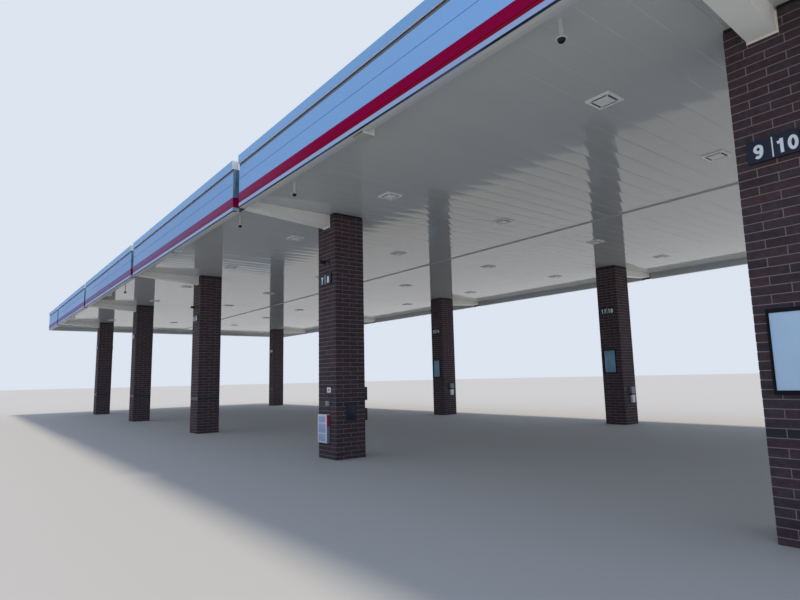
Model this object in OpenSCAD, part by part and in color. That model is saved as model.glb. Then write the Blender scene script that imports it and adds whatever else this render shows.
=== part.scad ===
// Filling station canopy on ten brick piers, a scale model at half of the real size.
// X runs along the canopy, Y across it and Z up. The origin is on the ground under the
// middle of the roof. A distance u is measured inwards from the outer face of the fascia.

/* [Grid] */
// Piers in each of the two rows
piers_per_row = 5; // [3:1:6]
// Spacing of the piers along the canopy
bay_pitch = 4813; // [4300:1:5300]
// Distance between the centre lines of the two rows
row_pitch = 6014; // [5400:1:6600]
// Centre line of an end pier to the fascia face beyond it
end_overhang = 2135; // [1900:1:2350]
// Centre line of a row to the fascia face beside it
side_overhang = 1356; // [1230:1:1480]

/* [Brickwork] */
// Length of a brick
brick_l = 198.2; // [180:0.1:216]
// Height of a brick
brick_h = 45.8; // [42:0.1:50]
// Thickness of a mortar joint
mortar = 5; // [4:0.1:6]
// Courses in a pier
courses = 57; // [53:1:61]
// How far the first course stands below the paving
buried = 9; // [5:1:13]
// Thickness of a pier's brick shell
shell_t = 46; // [40:0.5:52]

/* [Steel] */
// Width of the square post inside a pier
post_w = 150; // [135:1:165]
// Wall of the post
post_t = 6; // [4:0.5:8]
// Gap between a post's base plate and the brick shell round it
base_gap = 14.7; // [10:0.1:25]
// Thickness of the plates on a post
plate_t = 12; // [8:0.5:15]
// Width of an outrigger beam
outrigger_w = 147.5; // [132:0.5:162]
// Depth of an outrigger beam below the soffit at its pier
outrigger_root = 145; // [130:1:160]
// Depth of an outrigger beam below the soffit at the fascia
outrigger_tip = 75; // [66:1:84]
// Wall of an outrigger beam
outrigger_t = 4; // [3:0.5:6]
// Depth of a main beam
beam_h = 230; // [205:1:255]
// Width of a main beam's flanges
beam_w = 95; // [85:1:105]
// Depth of a purlin
purlin_h = 150; // [135:1:165]
// Width of a purlin's flanges
purlin_w = 75; // [66:1:84]
// Thickness of the beams' and purlins' webs
web_t = 5; // [4:0.5:6]
// Thickness of the beams' and purlins' flanges
flange_t = 7; // [5:0.5:9]
// Purlins on each side of the gutter
purlin_lines = 3; // [2:1:4]
// Height of the edge channel
edge_h = 100; // [90:1:110]
// Width of the edge channel's flanges
edge_w = 37; // [32:1:42]
// Thickness of the edge channel
edge_t = 4; // [3:0.5:5]

/* [Deck] */
// Nominal width of a deck pan
pan_w = 203.2; // [180:0.1:225]
// Thickness of the deck sheet
deck_t = 2.5; // [2:0.1:3]
// Height of a pan's rib
rib_h = 38; // [33:1:43]
// Width of the fold on top of a rib
rib_fold = 12; // [9:1:15]
// Width of the middle gutter
gutter_w = 360; // [320:1:400]
// How far the gutter's lips lap under the deck
gutter_lip = 12; // [9:1:15]
// How far the gutter hangs below the soffit
gutter_drop = 14; // [10:1:18]

/* [Fascia] */
// Thickness of the folded fascia sheets
sheet_t = 3; // [2:0.5:4]
// Gap between the top of a pier's bricks and the soffit
cap_gap = 23.4; // [18:0.1:28]
// How far the fascia hangs below the soffit
fascia_drop = 110; // [98:1:122]
// Height of the drip groove along the bottom
groove_h = 14; // [10:1:18]
// Depth of the drip groove
groove_d = 8; // [6:1:10]
// Height of the white strip
strip_h = 37; // [32:1:42]
// Height of the red band
band_h = 116; // [104:1:130]
// Height of the red band's lower, set back part
band_low_h = 31; // [25:1:37]
// Set back of the red band's lower part
band_step = 4; // [3:0.5:5]
// Height of the lower silver panel
low_panel_h = 158; // [142:1:174]
// Height of the upper silver panel
high_panel_h = 140; // [126:1:154]
// Height of the joint between the two panels
reveal_h = 6; // [4:1:8]
// Height of the dark gap below the coping
shadow_h = 32; // [28:1:36]
// Height of the coping
coping_h = 98; // [88:1:108]
// Depth of the coping from front to back
coping_d = 75; // [66:1:84]
// How far the coping stands out in front of the panels
coping_out = 15; // [12:1:18]
// Width of the closure under the fascia
closure_w = 80; // [74:1:88]
// Width of the lip that carries the deck's edge
deck_lip = 20; // [16:1:24]
// Width of the slot that parts the fascia at each pier
slot_w = 175; // [160:1:190]
// Distance of the fascia's studs behind its face
stud_back = 15; // [12:1:18]
// Width of the studs and rails
stud_w = 25; // [22:1:28]
// Widest spacing of the studs
stud_pitch = 900; // [700:1:1100]

/* [Ceiling fittings] */
// Light fittings are this far along from each pier's centre line
light_offset = 1120; // [1000:1:1240]
// Distances of the four rows of lights from the near fascia
light_rows = [1333, 3170, 5240, 7220]; // [1000:10:7700]
// Width of a light fitting
light_w = 196; // [180:1:212]
// Width of a light fitting's ring
light_ring = 20; // [17:1:23]
// Width of the plate in the middle of a light fitting
light_plate_w = 118; // [108:1:126]
// How far that plate hangs below the soffit
light_drop = 14; // [13:1:16]
// How far the ring hangs below the soffit
light_lip = 11; // [9:1:12]
// Thickness of a light fitting's lens
lens_t = 3; // [2:0.5:4]
// Width of the housing of a light fitting above the deck
housing_w = 150; // [130:1:165]
// Height of that housing
housing_h = 30; // [24:1:36]
// Distance of the dome cameras from the fascia face
camera_u = 275; // [245:1:305]
// Drop of a dome camera's stem
camera_drop = 105; // [90:1:120]
// Radius of a dome camera's dome
dome_r = 26; // [22:0.5:30]
// Length of the boxes at the middle of each bay's near edge
edge_box_l = 135; // [120:1:150]
// How far an edge box reaches inwards from the closure
edge_box_d = 57; // [50:1:64]
// How far an edge box laps under the closure
edge_box_lap = 55; // [49:1:61]
// How far an edge box hangs below the closure
edge_box_drop = 20; // [16:1:24]

/* [Pier fittings] */
// Width of the number plates
plate_w = 254; // [230:1:278]
// Height of the number plates
plate_h = 127; // [115:1:139]
// How far along the number plates stand from the middles of their faces
plate_x = -8; // [-15:1:0]
// Height of the near number plates' middle above the paving
plate_z = 2112; // [2000:1:2220]
// How much lower the far number plates stand
far_plate_drop = 42; // [35:1:50]
// Thickness of the number plates
plate_d = 18; // [15:1:21]
// Width of the sealed joint round an outrigger beam in the brickwork
seal_w = 8; // [6:0.5:10]
// Set back of the dark closure on top of a pier
collar_back = 20; // [15:1:25]
// Widths of a poster frame's side rims and of its rims above and below
poster_rim = [10, 19]; // [8:1:23]
// Depth of a poster frame
poster_d = 15; // [12:1:18]
// Width and height of the large poster frame
poster = [269, 456]; // [245:1:500]
// Height of the large poster's middle above the paving
poster_z = 1003; // [940:1:1070]
// Width and height of the small poster frames on two far piers
small_poster = [240, 442]; // [220:1:480]
// How far along the small poster frames stand from the middles of their piers
small_poster_x = -28; // [-40:1:-16]
// Height of the small posters' middles above the paving
small_poster_z = 1135; // [1060:1:1210]
// Width, depth and height of the cabinet on the second near pier
cabinet = [209, 46, 325]; // [40:1:350]
// How far along the cabinet stands from the middle of its pier
cabinet_x = -44; // [-55:1:-33]
// Height of the cabinet's underside above the paving
cabinet_z = 183; // [160:1:205]
// Width, depth and height of the towel boxes on two far piers
towel_box = [120, 45, 285]; // [40:1:310]
// How far along the two towel boxes stand from the middles of their piers
towel_x = 45; // [30:1:60]
// Heights of the two towel boxes' undersides above the paving
towel_z = [384, 477]; // [350:1:520]
// Width, depth and height of the slim box on the inner face of the second near pier
slim_box = [60, 40, 390]; // [36:1:430]
// How far along the slim box stands from the middle of its pier
slim_box_x = -165; // [-170:1:-150]
// Height of the slim box's underside above the paving
slim_box_z = 425; // [390:1:460]
// Width, depth and height of a bullet camera's foot
bullet_foot = [30, 10, 58]; // [8:1:64]
// How far a bullet camera reaches out from its pier
bullet_reach = 125; // [112:1:138]
// Width and height of a bullet camera's arm
bullet_arm = 14; // [12:1:16]
// Radius and length of a bullet camera's barrel
bullet_barrel = [14, 66]; // [12:1:72]
// How far along the bullet cameras stand from the middles of their piers
bullet_x = 50; // [40:1:60]
// Height of the bullet cameras' undersides above the middle of the number plates
bullet_up = 164; // [145:1:183]

/* [Hidden] */
$fn = 32;
NEAR = 0;
RIGHT = 1;
FAR = 2;
LEFT = 3;
SIDE_NAMES = ["near", "right", "far", "left"];

// Gap left at a corner between two fascia pieces, and round a piece that fits in another
fit = 0.3;
// Height of a dome camera's cap
camera_cap_h = 14;
// Dome cameras: piers counted from the right end, and distance along from that pier
camera_places = [[0, -701], [1, 862], [1, -553], [2, -1780]];
// The mitre zones reach this far past the coping and inside the edge channel
zone_out = 60;
zone_in = 160;

pier_w = 2 * brick_l + mortar;
base_w = pier_w - 2 * (shell_t + base_gap);
brick_top = courses * (brick_h + mortar) - mortar - buried;
soffit_z = brick_top + cap_gap;
steel_z = soffit_z + rib_h;
canopy_l = (piers_per_row - 1) * bay_pitch + 2 * end_overhang;
canopy_w = row_pitch + 2 * side_overhang;
row_y = row_pitch / 2;

bottom_z = soffit_z - fascia_drop;
strip_z = bottom_z + groove_h;
band_z = strip_z + strip_h;
panel_z = band_z + band_h;
reveal_z = panel_z + low_panel_h;
shadow_z = reveal_z + high_panel_h;
coping_z = shadow_z + shadow_h;
top_z = coping_z + coping_h;

deck_l = canopy_l - 2 * closure_w;
deck_half = canopy_w / 2 - closure_w - gutter_w / 2;
pans = round(deck_l / pan_w);
pan_pitch = (deck_l - deck_t) / pans;
steel_reach = canopy_w / 2 - closure_w - edge_w;
steel_end = canopy_l / 2 - closure_w - edge_w;

function pier_x(i) = (i - (piers_per_row - 1) / 2) * bay_pitch;
// Number of the pier that is k piers from the right end of its row
function from_right(k) = piers_per_row - 1 - k;
function half_across(side) = (side % 2 == 0 ? canopy_w : canopy_l) / 2;
function half_along(side) = (side % 2 == 0 ? canopy_l : canopy_w) / 2;
// Middles of the slots that part one side: one at each pier of a long side, none at an end
function slots(side) = side % 2 == 0 ? [for (i = [0:piers_per_row - 1]) pier_x(i)] : [];
// Start and end of each stretch of fascia, past the corners so that the mitres can cut it
function stretches(side) =
    let (s = slots(side), h = half_along(side) + zone_out, n = len(s))
    [for (i = [0:n]) [i == 0 ? -h : s[i - 1] + slot_w / 2, i == n ? h : s[i] - slot_w / 2]];
// The middle of the deck pan that x lies in
function pan_middle(x) = (floor((x + deck_l / 2) / pan_pitch) + 0.5) * pan_pitch - deck_l / 2;

// A length along X of the outline that is drawn with u as its x and height as its y
module along(from, to) {
    translate([from, 0, 0]) rotate([90, 0, 90]) linear_extrude(to - from) children();
}

// A piece drawn with x along the side and u inwards, put in its place on that side
module on_side(side) {
    rotate([0, 0, 90 * side]) translate([0, -half_across(side), 0]) children();
}

// The part of a side's fascia that belongs to it, cut at 45 degrees at both corners
module mitre_zone(side) {
    h = half_along(side) - fit;
    translate([0, 0, bottom_z - 1])
        linear_extrude(top_z - bottom_z + 2)
            polygon([[-h - zone_out, -zone_out], [h + zone_out, -zone_out],
                     [h - zone_in, zone_in], [-h + zone_in, zone_in]]);
}

// Section of a sheet that is folded along level and upright lines, with its inner corners given
module folded(points, t) {
    for (i = [0:len(points) - 2])
        translate([min(points[i].x, points[i + 1].x), min(points[i].y, points[i + 1].y)])
            square([abs(points[i].x - points[i + 1].x) + t, abs(points[i].y - points[i + 1].y) + t]);
}

// One part of a side's fascia: its folded sheet, closed at each slot by a plate over end_box,
// which is [lowest u, highest u, lowest height, highest height]
module fascia_part(side, points, end_box) {
    on_side(side) intersection() {
        union() {
            for (s = stretches(side)) along(s[0], s[1]) folded(points, sheet_t);
            for (x = slots(side), way = [-1, 1])
                translate([x + way * (slot_w + sheet_t) / 2 - sheet_t / 2, end_box[0], end_box[2]])
                    cube([sheet_t, end_box[1] - end_box[0], end_box[3] - end_box[2]]);
        }
        mitre_zone(side);
    }
}

module closure(side) {
    back = closure_w - sheet_t;
    color("gainsboro")
        fascia_part(side,
            [[stud_back - sheet_t, band_z - sheet_t], [0, band_z - sheet_t], [0, strip_z],
             [groove_d, strip_z], [groove_d, bottom_z], [back, bottom_z],
             [back, soffit_z - sheet_t], [back + deck_lip, soffit_z - sheet_t]],
            [groove_d, back, bottom_z, band_z]);
}

module red_band(side) {
    low_z = band_z + band_low_h;
    color("crimson")
        fascia_part(side,
            [[stud_back - sheet_t, panel_z - sheet_t], [0, panel_z - sheet_t], [0, low_z],
             [band_step, low_z], [band_step, band_z], [stud_back - sheet_t, band_z]],
            [band_step, closure_w - sheet_t, band_z, panel_z]);
}

module silver_panels(side) {
    deep = stud_back - sheet_t;
    color("silver")
        fascia_part(side,
            [[deep, panel_z], [0, panel_z], [0, reveal_z - reveal_h / 2 - sheet_t],
             [deep, reveal_z - reveal_h / 2 - sheet_t], [deep, reveal_z + reveal_h / 2],
             [0, reveal_z + reveal_h / 2], [0, shadow_z - sheet_t], [deep, shadow_z - sheet_t],
             [deep, coping_z]],
            [0, closure_w - sheet_t, panel_z, coping_z]);
}

module coping(side) {
    back = coping_d - coping_out - sheet_t;
    color("whitesmoke")
        fascia_part(side,
            [[-2 * sheet_t, coping_z], [-coping_out, coping_z], [-coping_out, top_z - sheet_t],
             [back, top_z - sheet_t], [back, coping_z]],
            [-coping_out, back + sheet_t, coping_z, top_z]);
}

// The plates that stand at the back of the slots, from the closure up to the coping
module joint_backs() {
    color("midnightblue")
        for (side = [NEAR, FAR], x = slots(side))
            on_side(side) translate([x - slot_w / 2, closure_w - sheet_t, bottom_z])
                cube([slot_w, sheet_t, top_z - sheet_t - bottom_z]);
}

// Ladders of studs and rails behind the fascia, with short arms back to the edge channel
module fascia_studs() {
    low = bottom_z + sheet_t;
    high = top_z - sheet_t;
    arm_z = steel_z + edge_h / 2;
    color("lightgray")
        for (side = [NEAR, RIGHT, FAR, LEFT]) on_side(side) intersection() {
            union() for (s = stretches(side)) {
                corner = half_along(side) - stud_back - stud_w;
                from = max(s[0] + sheet_t, -corner);
                to = min(s[1] - sheet_t, corner);
                gaps = ceil((to - from) / stud_pitch);
                step = (to - from - stud_w) / gaps;
                for (z = [low, high - stud_w])
                    along(max(s[0] + sheet_t, -half_along(side)), min(s[1] - sheet_t, half_along(side)))
                        translate([stud_back, z]) square(stud_w);
                for (i = [0:gaps]) translate([from + i * step, stud_back, 0]) {
                    translate([0, 0, low]) cube([stud_w, stud_w, high - low]);
                    translate([0, 0, arm_z]) cube([stud_w, closure_w - stud_back, stud_w]);
                }
            }
            mitre_zone(side);
        }
}

module edge_channels() {
    color("lightgray")
        for (side = [NEAR, RIGHT, FAR, LEFT]) on_side(side) intersection() {
            along(-half_along(side), half_along(side))
                folded([[closure_w + edge_w - edge_t, steel_z], [closure_w, steel_z],
                        [closure_w, steel_z + edge_h - edge_t],
                        [closure_w + edge_w - edge_t, steel_z + edge_h - edge_t]], edge_t);
            mitre_zone(side);
        }
}

// Section of a rolled beam that stands on y = 0
module i_section(h, w) {
    translate([-w / 2, 0]) square([w, flange_t]);
    translate([-w / 2, h - flange_t]) square([w, flange_t]);
    translate([-web_t / 2, 0]) square([web_t, h]);
}

module main_beams() {
    color("lightgray")
        for (i = [0:piers_per_row - 1])
            translate([pier_x(i), steel_reach, steel_z])
                rotate([90, 0, 0]) linear_extrude(2 * steel_reach) i_section(beam_h, beam_w);
}

// Purlins between the main beams, and from the end beams out to the edge channels
module purlins() {
    step = steel_reach / purlin_lines;
    stops = concat([-steel_end - beam_w / 2], [for (i = [0:piers_per_row - 1]) pier_x(i)],
                   [steel_end + beam_w / 2]);
    color("lightgray")
        for (way = [-1, 1], k = [0:purlin_lines - 1], i = [0:piers_per_row])
            translate([0, way * (k + 0.5) * step, steel_z])
                along(stops[i] + beam_w / 2, stops[i + 1] - beam_w / 2) i_section(purlin_h, purlin_w);
}

module steel_posts() {
    color("dimgray")
        for (i = [0:piers_per_row - 1], way = [-1, 1])
            translate([pier_x(i), way * row_y, 0]) {
                translate([-base_w / 2, -base_w / 2, 0]) cube([base_w, base_w, plate_t]);
                difference() {
                    translate([-post_w / 2, -post_w / 2, 0]) cube([post_w, post_w, steel_z]);
                    translate([post_t - post_w / 2, post_t - post_w / 2, plate_t])
                        cube([post_w - 2 * post_t, post_w - 2 * post_t, steel_z - 2 * plate_t]);
                }
            }
}

// Tapered box beams that reach from the posts out to the fascia
module outrigger_beams() {
    pier_u = side_overhang - pier_w / 2;
    post_u = side_overhang - post_w / 2;
    t = outrigger_t;
    color("gainsboro")
        for (side = [NEAR, FAR], x = slots(side)) on_side(side) difference() {
            along(x - outrigger_w / 2, x + outrigger_w / 2) translate([0, soffit_z])
                polygon([[closure_w, 0], [closure_w, -outrigger_tip], [pier_u, -outrigger_root],
                         [post_u, -outrigger_root], [post_u, 0]]);
            along(x - outrigger_w / 2 + t, x + outrigger_w / 2 - t) translate([0, soffit_z])
                polygon([[closure_w + t, -t], [closure_w + t, t - outrigger_tip],
                         [pier_u, t - outrigger_root], [post_u + t, t - outrigger_root],
                         [post_u + t, -t]]);
        }
}

// The opening that an outrigger beam and its sealed joint take out of a pier's outer wall
module beam_notch(margin) {
    w = outrigger_w + 2 * margin;
    translate([-w / 2, -pier_w / 2 - 1, soffit_z - outrigger_root - margin])
        cube([w, shell_t + 2, outrigger_root + margin + 1]);
}

// A hollow brick pier with its notch towards -Y
module pier() {
    inner = pier_w - 2 * shell_t;
    color("saddlebrown") difference() {
        translate([-pier_w / 2, -pier_w / 2, 0]) cube([pier_w, pier_w, brick_top]);
        translate([-inner / 2, -inner / 2, -1]) cube([inner, inner, brick_top + 2]);
        beam_notch(seal_w);
    }
}

// Puts a piece drawn for a near pier at pier i of a row, turned to face outwards
module at_pier(i, side) {
    translate([pier_x(i), side == NEAR ? -row_y : row_y, 0])
        rotate([0, 0, side == NEAR ? 0 : 180]) children();
}

module on_all_piers() {
    for (i = [0:piers_per_row - 1], side = [NEAR, FAR]) at_pier(i, side) children();
}

// Dark closures that stand on the brickwork, set back from its face, and meet the soffit
module pier_collars() {
    outer = pier_w - 2 * collar_back;
    inner = pier_w - 2 * shell_t;
    color("dimgray") on_all_piers() difference() {
        translate([-outer / 2, -outer / 2, brick_top]) cube([outer, outer, cap_gap]);
        translate([-inner / 2, -inner / 2, brick_top - 1]) cube([inner, inner, cap_gap + 2]);
        beam_notch(seal_w);
    }
}

module beam_seals() {
    proud = 2;
    color("lightgray") on_all_piers() difference() {
        translate([-outrigger_w / 2 - seal_w, -pier_w / 2 - proud, soffit_z - outrigger_root - seal_w])
            cube([outrigger_w + 2 * seal_w, shell_t, brick_top - soffit_z + outrigger_root + seal_w]);
        translate([0, -proud - 1, 0]) beam_notch(0);
    }
}

// Corners of rib i of the deck, from right to left over its fold
function rib(i) =
    let (x = i * pan_pitch, r = x + deck_t, low = rib_h - deck_t, tip = r + rib_fold)
    i == pans ? [[r, rib_h], [x, rib_h], [x, deck_t]]
    : concat([[r, deck_t], [r, low], [tip, low], [tip, rib_h], [x, rib_h]],
             i == 0 ? [] : [[x, deck_t]]);

// Section along the deck: a flat underside, with a folded rib at each joint between pans
module deck_section() {
    polygon(concat([[0, 0], [deck_l, 0]], [for (i = [pans:-1:0]) each rib(i)]));
}

// Half of the deck, from the gutter to one long side, with a hole for each post
module deck(side) {
    clearance = 3;
    hole = post_w + 2 * clearance;
    color("white") difference() {
        on_side(side) translate([-deck_l / 2, closure_w + deck_half, soffit_z])
            rotate([90, 0, 0]) linear_extrude(deck_half) deck_section();
        for (i = [0:piers_per_row - 1]) at_pier(i, side)
            translate([-hole / 2, -hole / 2, soffit_z - 1]) cube([hole, hole, rib_h + 2]);
    }
}

// Trough along the middle, with lips that lap under the two halves of the deck
module gutter() {
    edge = gutter_w / 2 - sheet_t;
    low = soffit_z - sheet_t;
    color("white") along(-deck_l / 2, deck_l / 2) {
        folded([[-edge - sheet_t - gutter_lip, low], [-edge - sheet_t, low],
                [-edge - sheet_t, soffit_z - gutter_drop], [edge, soffit_z - gutter_drop],
                [edge, low], [edge + gutter_lip, low]], sheet_t);
        for (y = [-edge - sheet_t, edge])
            translate([y, soffit_z - gutter_drop]) square([sheet_t, gutter_drop + rib_h]);
    }
}

// Middles of the light fittings, each in the middle of a deck pan
function light_places() = [
    for (i = [0:piers_per_row - 1], way = [-1, 1], u = light_rows)
        [pan_middle(pier_x(i) + way * light_offset), u - canopy_w / 2]];

// A square plate, centred, from the height low up to high
module square_plate(w, low, high) {
    translate([-w / 2, -w / 2, low]) cube([w, w, high - low]);
}

// A ring and four diagonal bars on the soffit round a plate that hangs lower, with a pocket for
// the lens behind them, and above the deck the fitting's housing
module light_fittings() {
    lip = light_lip;
    bar = 8;
    inside = light_plate_w / 2;
    outside = light_w / 2 - light_ring;
    color("whitesmoke") for (p = light_places()) translate([p.x, p.y, soffit_z]) {
        difference() {
            union() {
                square_plate(light_w, -lip, 0);
                square_plate(light_plate_w, -light_drop, -lip);
            }
            square_plate(2 * outside, -lens_t - fit, 1);
            for (turn = [0:90:270]) rotate(turn) translate([0, 0, -lip - 1]) linear_extrude(lip)
                polygon([[inside, bar - inside], [outside, bar - outside],
                         [outside, outside - bar], [inside, inside - bar]]);
        }
        square_plate(housing_w, deck_t, deck_t + housing_h);
    }
}

module light_lenses() {
    color("lightyellow") for (p = light_places()) translate([p.x, p.y, soffit_z])
        square_plate(light_w - 2 * light_ring - 2 * fit, -lens_t, 0);
}

// Puts a piece drawn under z = 0 at each dome camera's place on the soffit
module at_cameras() {
    for (p = camera_places)
        on_side(NEAR) translate([pier_x(from_right(p[0])) + p[1], camera_u, soffit_z]) children();
}

// Flanges, stems and caps of the dome cameras along the near side
module dome_cameras() {
    stem_r = 7;
    flange_h = 6;
    color("white") at_cameras() {
        translate([0, 0, -flange_h]) cylinder(h = flange_h, r = 3 * stem_r);
        translate([0, 0, -camera_drop]) cylinder(h = camera_drop, r = stem_r);
        translate([0, 0, -camera_drop - camera_cap_h])
            cylinder(h = camera_cap_h, r1 = 1.45 * dome_r, r2 = 2 * stem_r);
    }
}

module camera_domes() {
    color("black") at_cameras() translate([0, 0, -camera_drop - camera_cap_h]) difference() {
        sphere(r = dome_r);
        cylinder(h = dome_r + 1, r = dome_r + 1);
    }
}

// Boxes at the middle of each bay's near edge, which lap under the closure
module edge_boxes() {
    back = closure_w + fit;
    lap = closure_w - edge_box_lap;
    low = bottom_z - edge_box_drop;
    color("gainsboro") for (i = [0:piers_per_row - 2]) on_side(NEAR)
        along(pier_x(i + 0.5) - edge_box_l / 2, pier_x(i + 0.5) + edge_box_l / 2)
            polygon([[lap, low], [back + edge_box_d, low], [back + edge_box_d, soffit_z - sheet_t - fit],
                     [back, soffit_z - sheet_t - fit], [back, bottom_z - fit], [lap, bottom_z - fit]]);
}

// Puts a piece drawn against y = 0 on a face of the pier that is k from the right end: at a turn
// of 0 on its -Y face, at 90 on its +X face and at 180 on its +Y face
module on_face(k, side, turn) {
    translate([pier_x(from_right(k)), side == NEAR ? -row_y : row_y, 0])
        rotate(turn) translate([0, -pier_w / 2, 0]) children();
}

// A poster case with its middle at x, z
module poster_case(size, x, z) {
    translate([x - size[0] / 2, -poster_d, z - size[1] / 2]) difference() {
        cube([size[0], poster_d, size[1]]);
        translate([poster_rim[0], -1, poster_rim[1]])
            cube([size[0] - 2 * poster_rim[0], poster_d / 2 + 1, size[1] - 2 * poster_rim[1]]);
    }
}

// A box with its back on y = 0, its middle at x and its underside at z
module seated(size, x, z) {
    translate([x - size.x / 2, -size.y, z]) cube(size);
}

// Plates on the two faces of each pier that look across the roof
module number_plates() {
    color("black") for (k = [0:piers_per_row - 1], side = [NEAR, FAR], turn = [0, 180])
        on_face(k, side, turn)
            seated([plate_w, plate_d, plate_h], plate_x,
                   plate_z - plate_h / 2 - (side == FAR ? far_plate_drop : 0));
}

module poster_frames() {
    color("black") {
        on_face(0, NEAR, 0) poster_case(poster, 0, poster_z);
        for (k = [1, 2]) on_face(k, FAR, 0) poster_case(small_poster, small_poster_x, small_poster_z);
    }
}

// A camera on a face: a foot, an arm straight out from its top and a barrel under the arm's end
module bullet_camera(x, z) {
    r = bullet_barrel[0];
    translate([x, 0, z]) {
        translate([-bullet_foot.x / 2, -bullet_foot.y, 0]) cube(bullet_foot);
        translate([-bullet_arm / 2, -bullet_reach, bullet_foot.z - bullet_arm])
            cube([bullet_arm, bullet_reach, bullet_arm]);
        translate([0, bullet_barrel[1] - bullet_reach, bullet_foot.z - 0.8 * bullet_arm - r])
            rotate([90, 0, 0]) cylinder(h = bullet_barrel[1], r = r);
    }
}

// Small housings on the piers: a cabinet, a slim box, two towel boxes and two bullet cameras
module pier_cabinets() {
    color("white") {
        on_face(1, NEAR, 0) seated(cabinet, cabinet_x, cabinet_z);
        on_face(1, NEAR, 180) seated(slim_box, slim_box_x, slim_box_z);
        on_face(1, FAR, 90) seated(towel_box, towel_x, towel_z[0]);
        on_face(2, FAR, 90) seated(towel_box, towel_x, towel_z[1]);
        for (k = [1, 2]) on_face(k, NEAR, 0) bullet_camera(bullet_x, plate_z + bullet_up);
    }
}

for (i = [1:piers_per_row]) {
    at_pier(i - 1, NEAR) pier();
    at_pier(i - 1, FAR) pier();
}
pier_collars();
beam_seals();
steel_posts();
outrigger_beams();
main_beams();
purlins();
deck(NEAR);  // deck_near
deck(FAR);  // deck_far
gutter();
edge_channels();
fascia_studs();
joint_backs();
for (side = [NEAR, RIGHT, FAR, LEFT]) {
    closure(side);
    red_band(side);
    silver_panels(side);
    coping(side);
}
light_fittings();
light_lenses();
dome_cameras();
camera_domes();
edge_boxes();
number_plates();
poster_frames();
pier_cabinets();
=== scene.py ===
"""Looks for a filling station canopy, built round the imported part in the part's own frame.

The part is a scale model at half of the real size. Every length here is in metres of the
model: X runs along the canopy, Y across it and Z up, and the origin is on the ground under the
middle of the roof. Piers are counted k = 0, 1, ... from the right end of their row.
"""

import logging
import math
from dataclasses import dataclass, field
from enum import Enum
from typing import Callable, Optional, Sequence

import bpy
import numpy as np
from mathutils import Matrix, Vector


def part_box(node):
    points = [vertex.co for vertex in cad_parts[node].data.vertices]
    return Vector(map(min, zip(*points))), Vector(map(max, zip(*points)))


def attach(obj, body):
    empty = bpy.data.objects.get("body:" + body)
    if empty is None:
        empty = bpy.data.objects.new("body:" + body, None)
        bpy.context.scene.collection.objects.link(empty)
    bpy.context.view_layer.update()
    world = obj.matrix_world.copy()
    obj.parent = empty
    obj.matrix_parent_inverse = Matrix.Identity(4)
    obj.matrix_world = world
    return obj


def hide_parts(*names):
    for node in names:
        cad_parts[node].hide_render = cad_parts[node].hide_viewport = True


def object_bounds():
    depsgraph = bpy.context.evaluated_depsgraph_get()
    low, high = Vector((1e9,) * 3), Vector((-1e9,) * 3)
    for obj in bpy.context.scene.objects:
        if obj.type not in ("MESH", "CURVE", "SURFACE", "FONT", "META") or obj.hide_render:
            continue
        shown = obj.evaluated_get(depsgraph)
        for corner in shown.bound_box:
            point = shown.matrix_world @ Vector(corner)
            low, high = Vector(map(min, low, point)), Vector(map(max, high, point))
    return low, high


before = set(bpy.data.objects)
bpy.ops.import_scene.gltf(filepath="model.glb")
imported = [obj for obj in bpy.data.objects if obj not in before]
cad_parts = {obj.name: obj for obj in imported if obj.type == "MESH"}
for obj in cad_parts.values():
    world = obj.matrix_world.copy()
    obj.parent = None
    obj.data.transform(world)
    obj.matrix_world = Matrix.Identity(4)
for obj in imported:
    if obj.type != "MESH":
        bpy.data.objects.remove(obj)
CAD_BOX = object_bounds()

LOG = logging.getLogger("canopy")
BODY = "root"
PIERS_PER_ROW = 5
SIDES = ("near", "right", "far", "left")
MM = 0.001
# Points closer to a plane than this lie in it
IN_PLANE = 0.1 * MM

# A place on a face, along it and up, or the radius and height of a ring
Spot = tuple[float, float]
# Width, depth and height
Size = tuple[float, float, float]

# CAD points that agree to this many decimals of a metre are one
MERGE_DECIMALS = 5
# Points over the rounded front edge of a box, and the least radius of its corners
EDGE_POINTS = 4
LEAST_RADIUS = 0.2 * MM


# Colours and finishes


# The Mix node's colour sockets, by number because each kind of data has sockets of the same names
MIX_SHARE, MIX_A, MIX_B, MIX_RESULT = 0, 6, 7, 2
# The part of a noise texture's values that its patches spread over
NOISE_LOW, NOISE_HIGH = 0.35, 0.68


def linear(colour: str) -> tuple[float, float, float, float]:
    """Turn an sRGB hex colour into linear red, green and blue, with an alpha of 1.

    Args:
        colour: Six hex digits after a hash.

    Returns:
        The linear colour.
    """
    parts = [int(colour[i:i + 2], 16) / 255 for i in (1, 3, 5)]
    return tuple(c / 12.92 if c <= 0.04045 else ((c + 0.055) / 1.055) ** 2.4 for c in parts) + (1.0,)


def add_node(tree: bpy.types.NodeTree, kind: str, inputs: Optional[dict] = None,
             **settings) -> bpy.types.Node:
    """Add a node with its settings, and set or link its inputs.

    Args:
        tree: The node tree that gets the node.
        kind: The node's type name.
        inputs: A value or an output socket for each input, by its name or number.
        settings: The node's own properties.

    Returns:
        The new node.
    """
    node = tree.nodes.new(kind)
    for name, value in settings.items():
        setattr(node, name, value)
    for key, value in (inputs or {}).items():
        if isinstance(value, bpy.types.NodeSocket):
            tree.links.new(value, node.inputs[key])
        else:
            node.inputs[key].default_value = value
    return node


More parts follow.
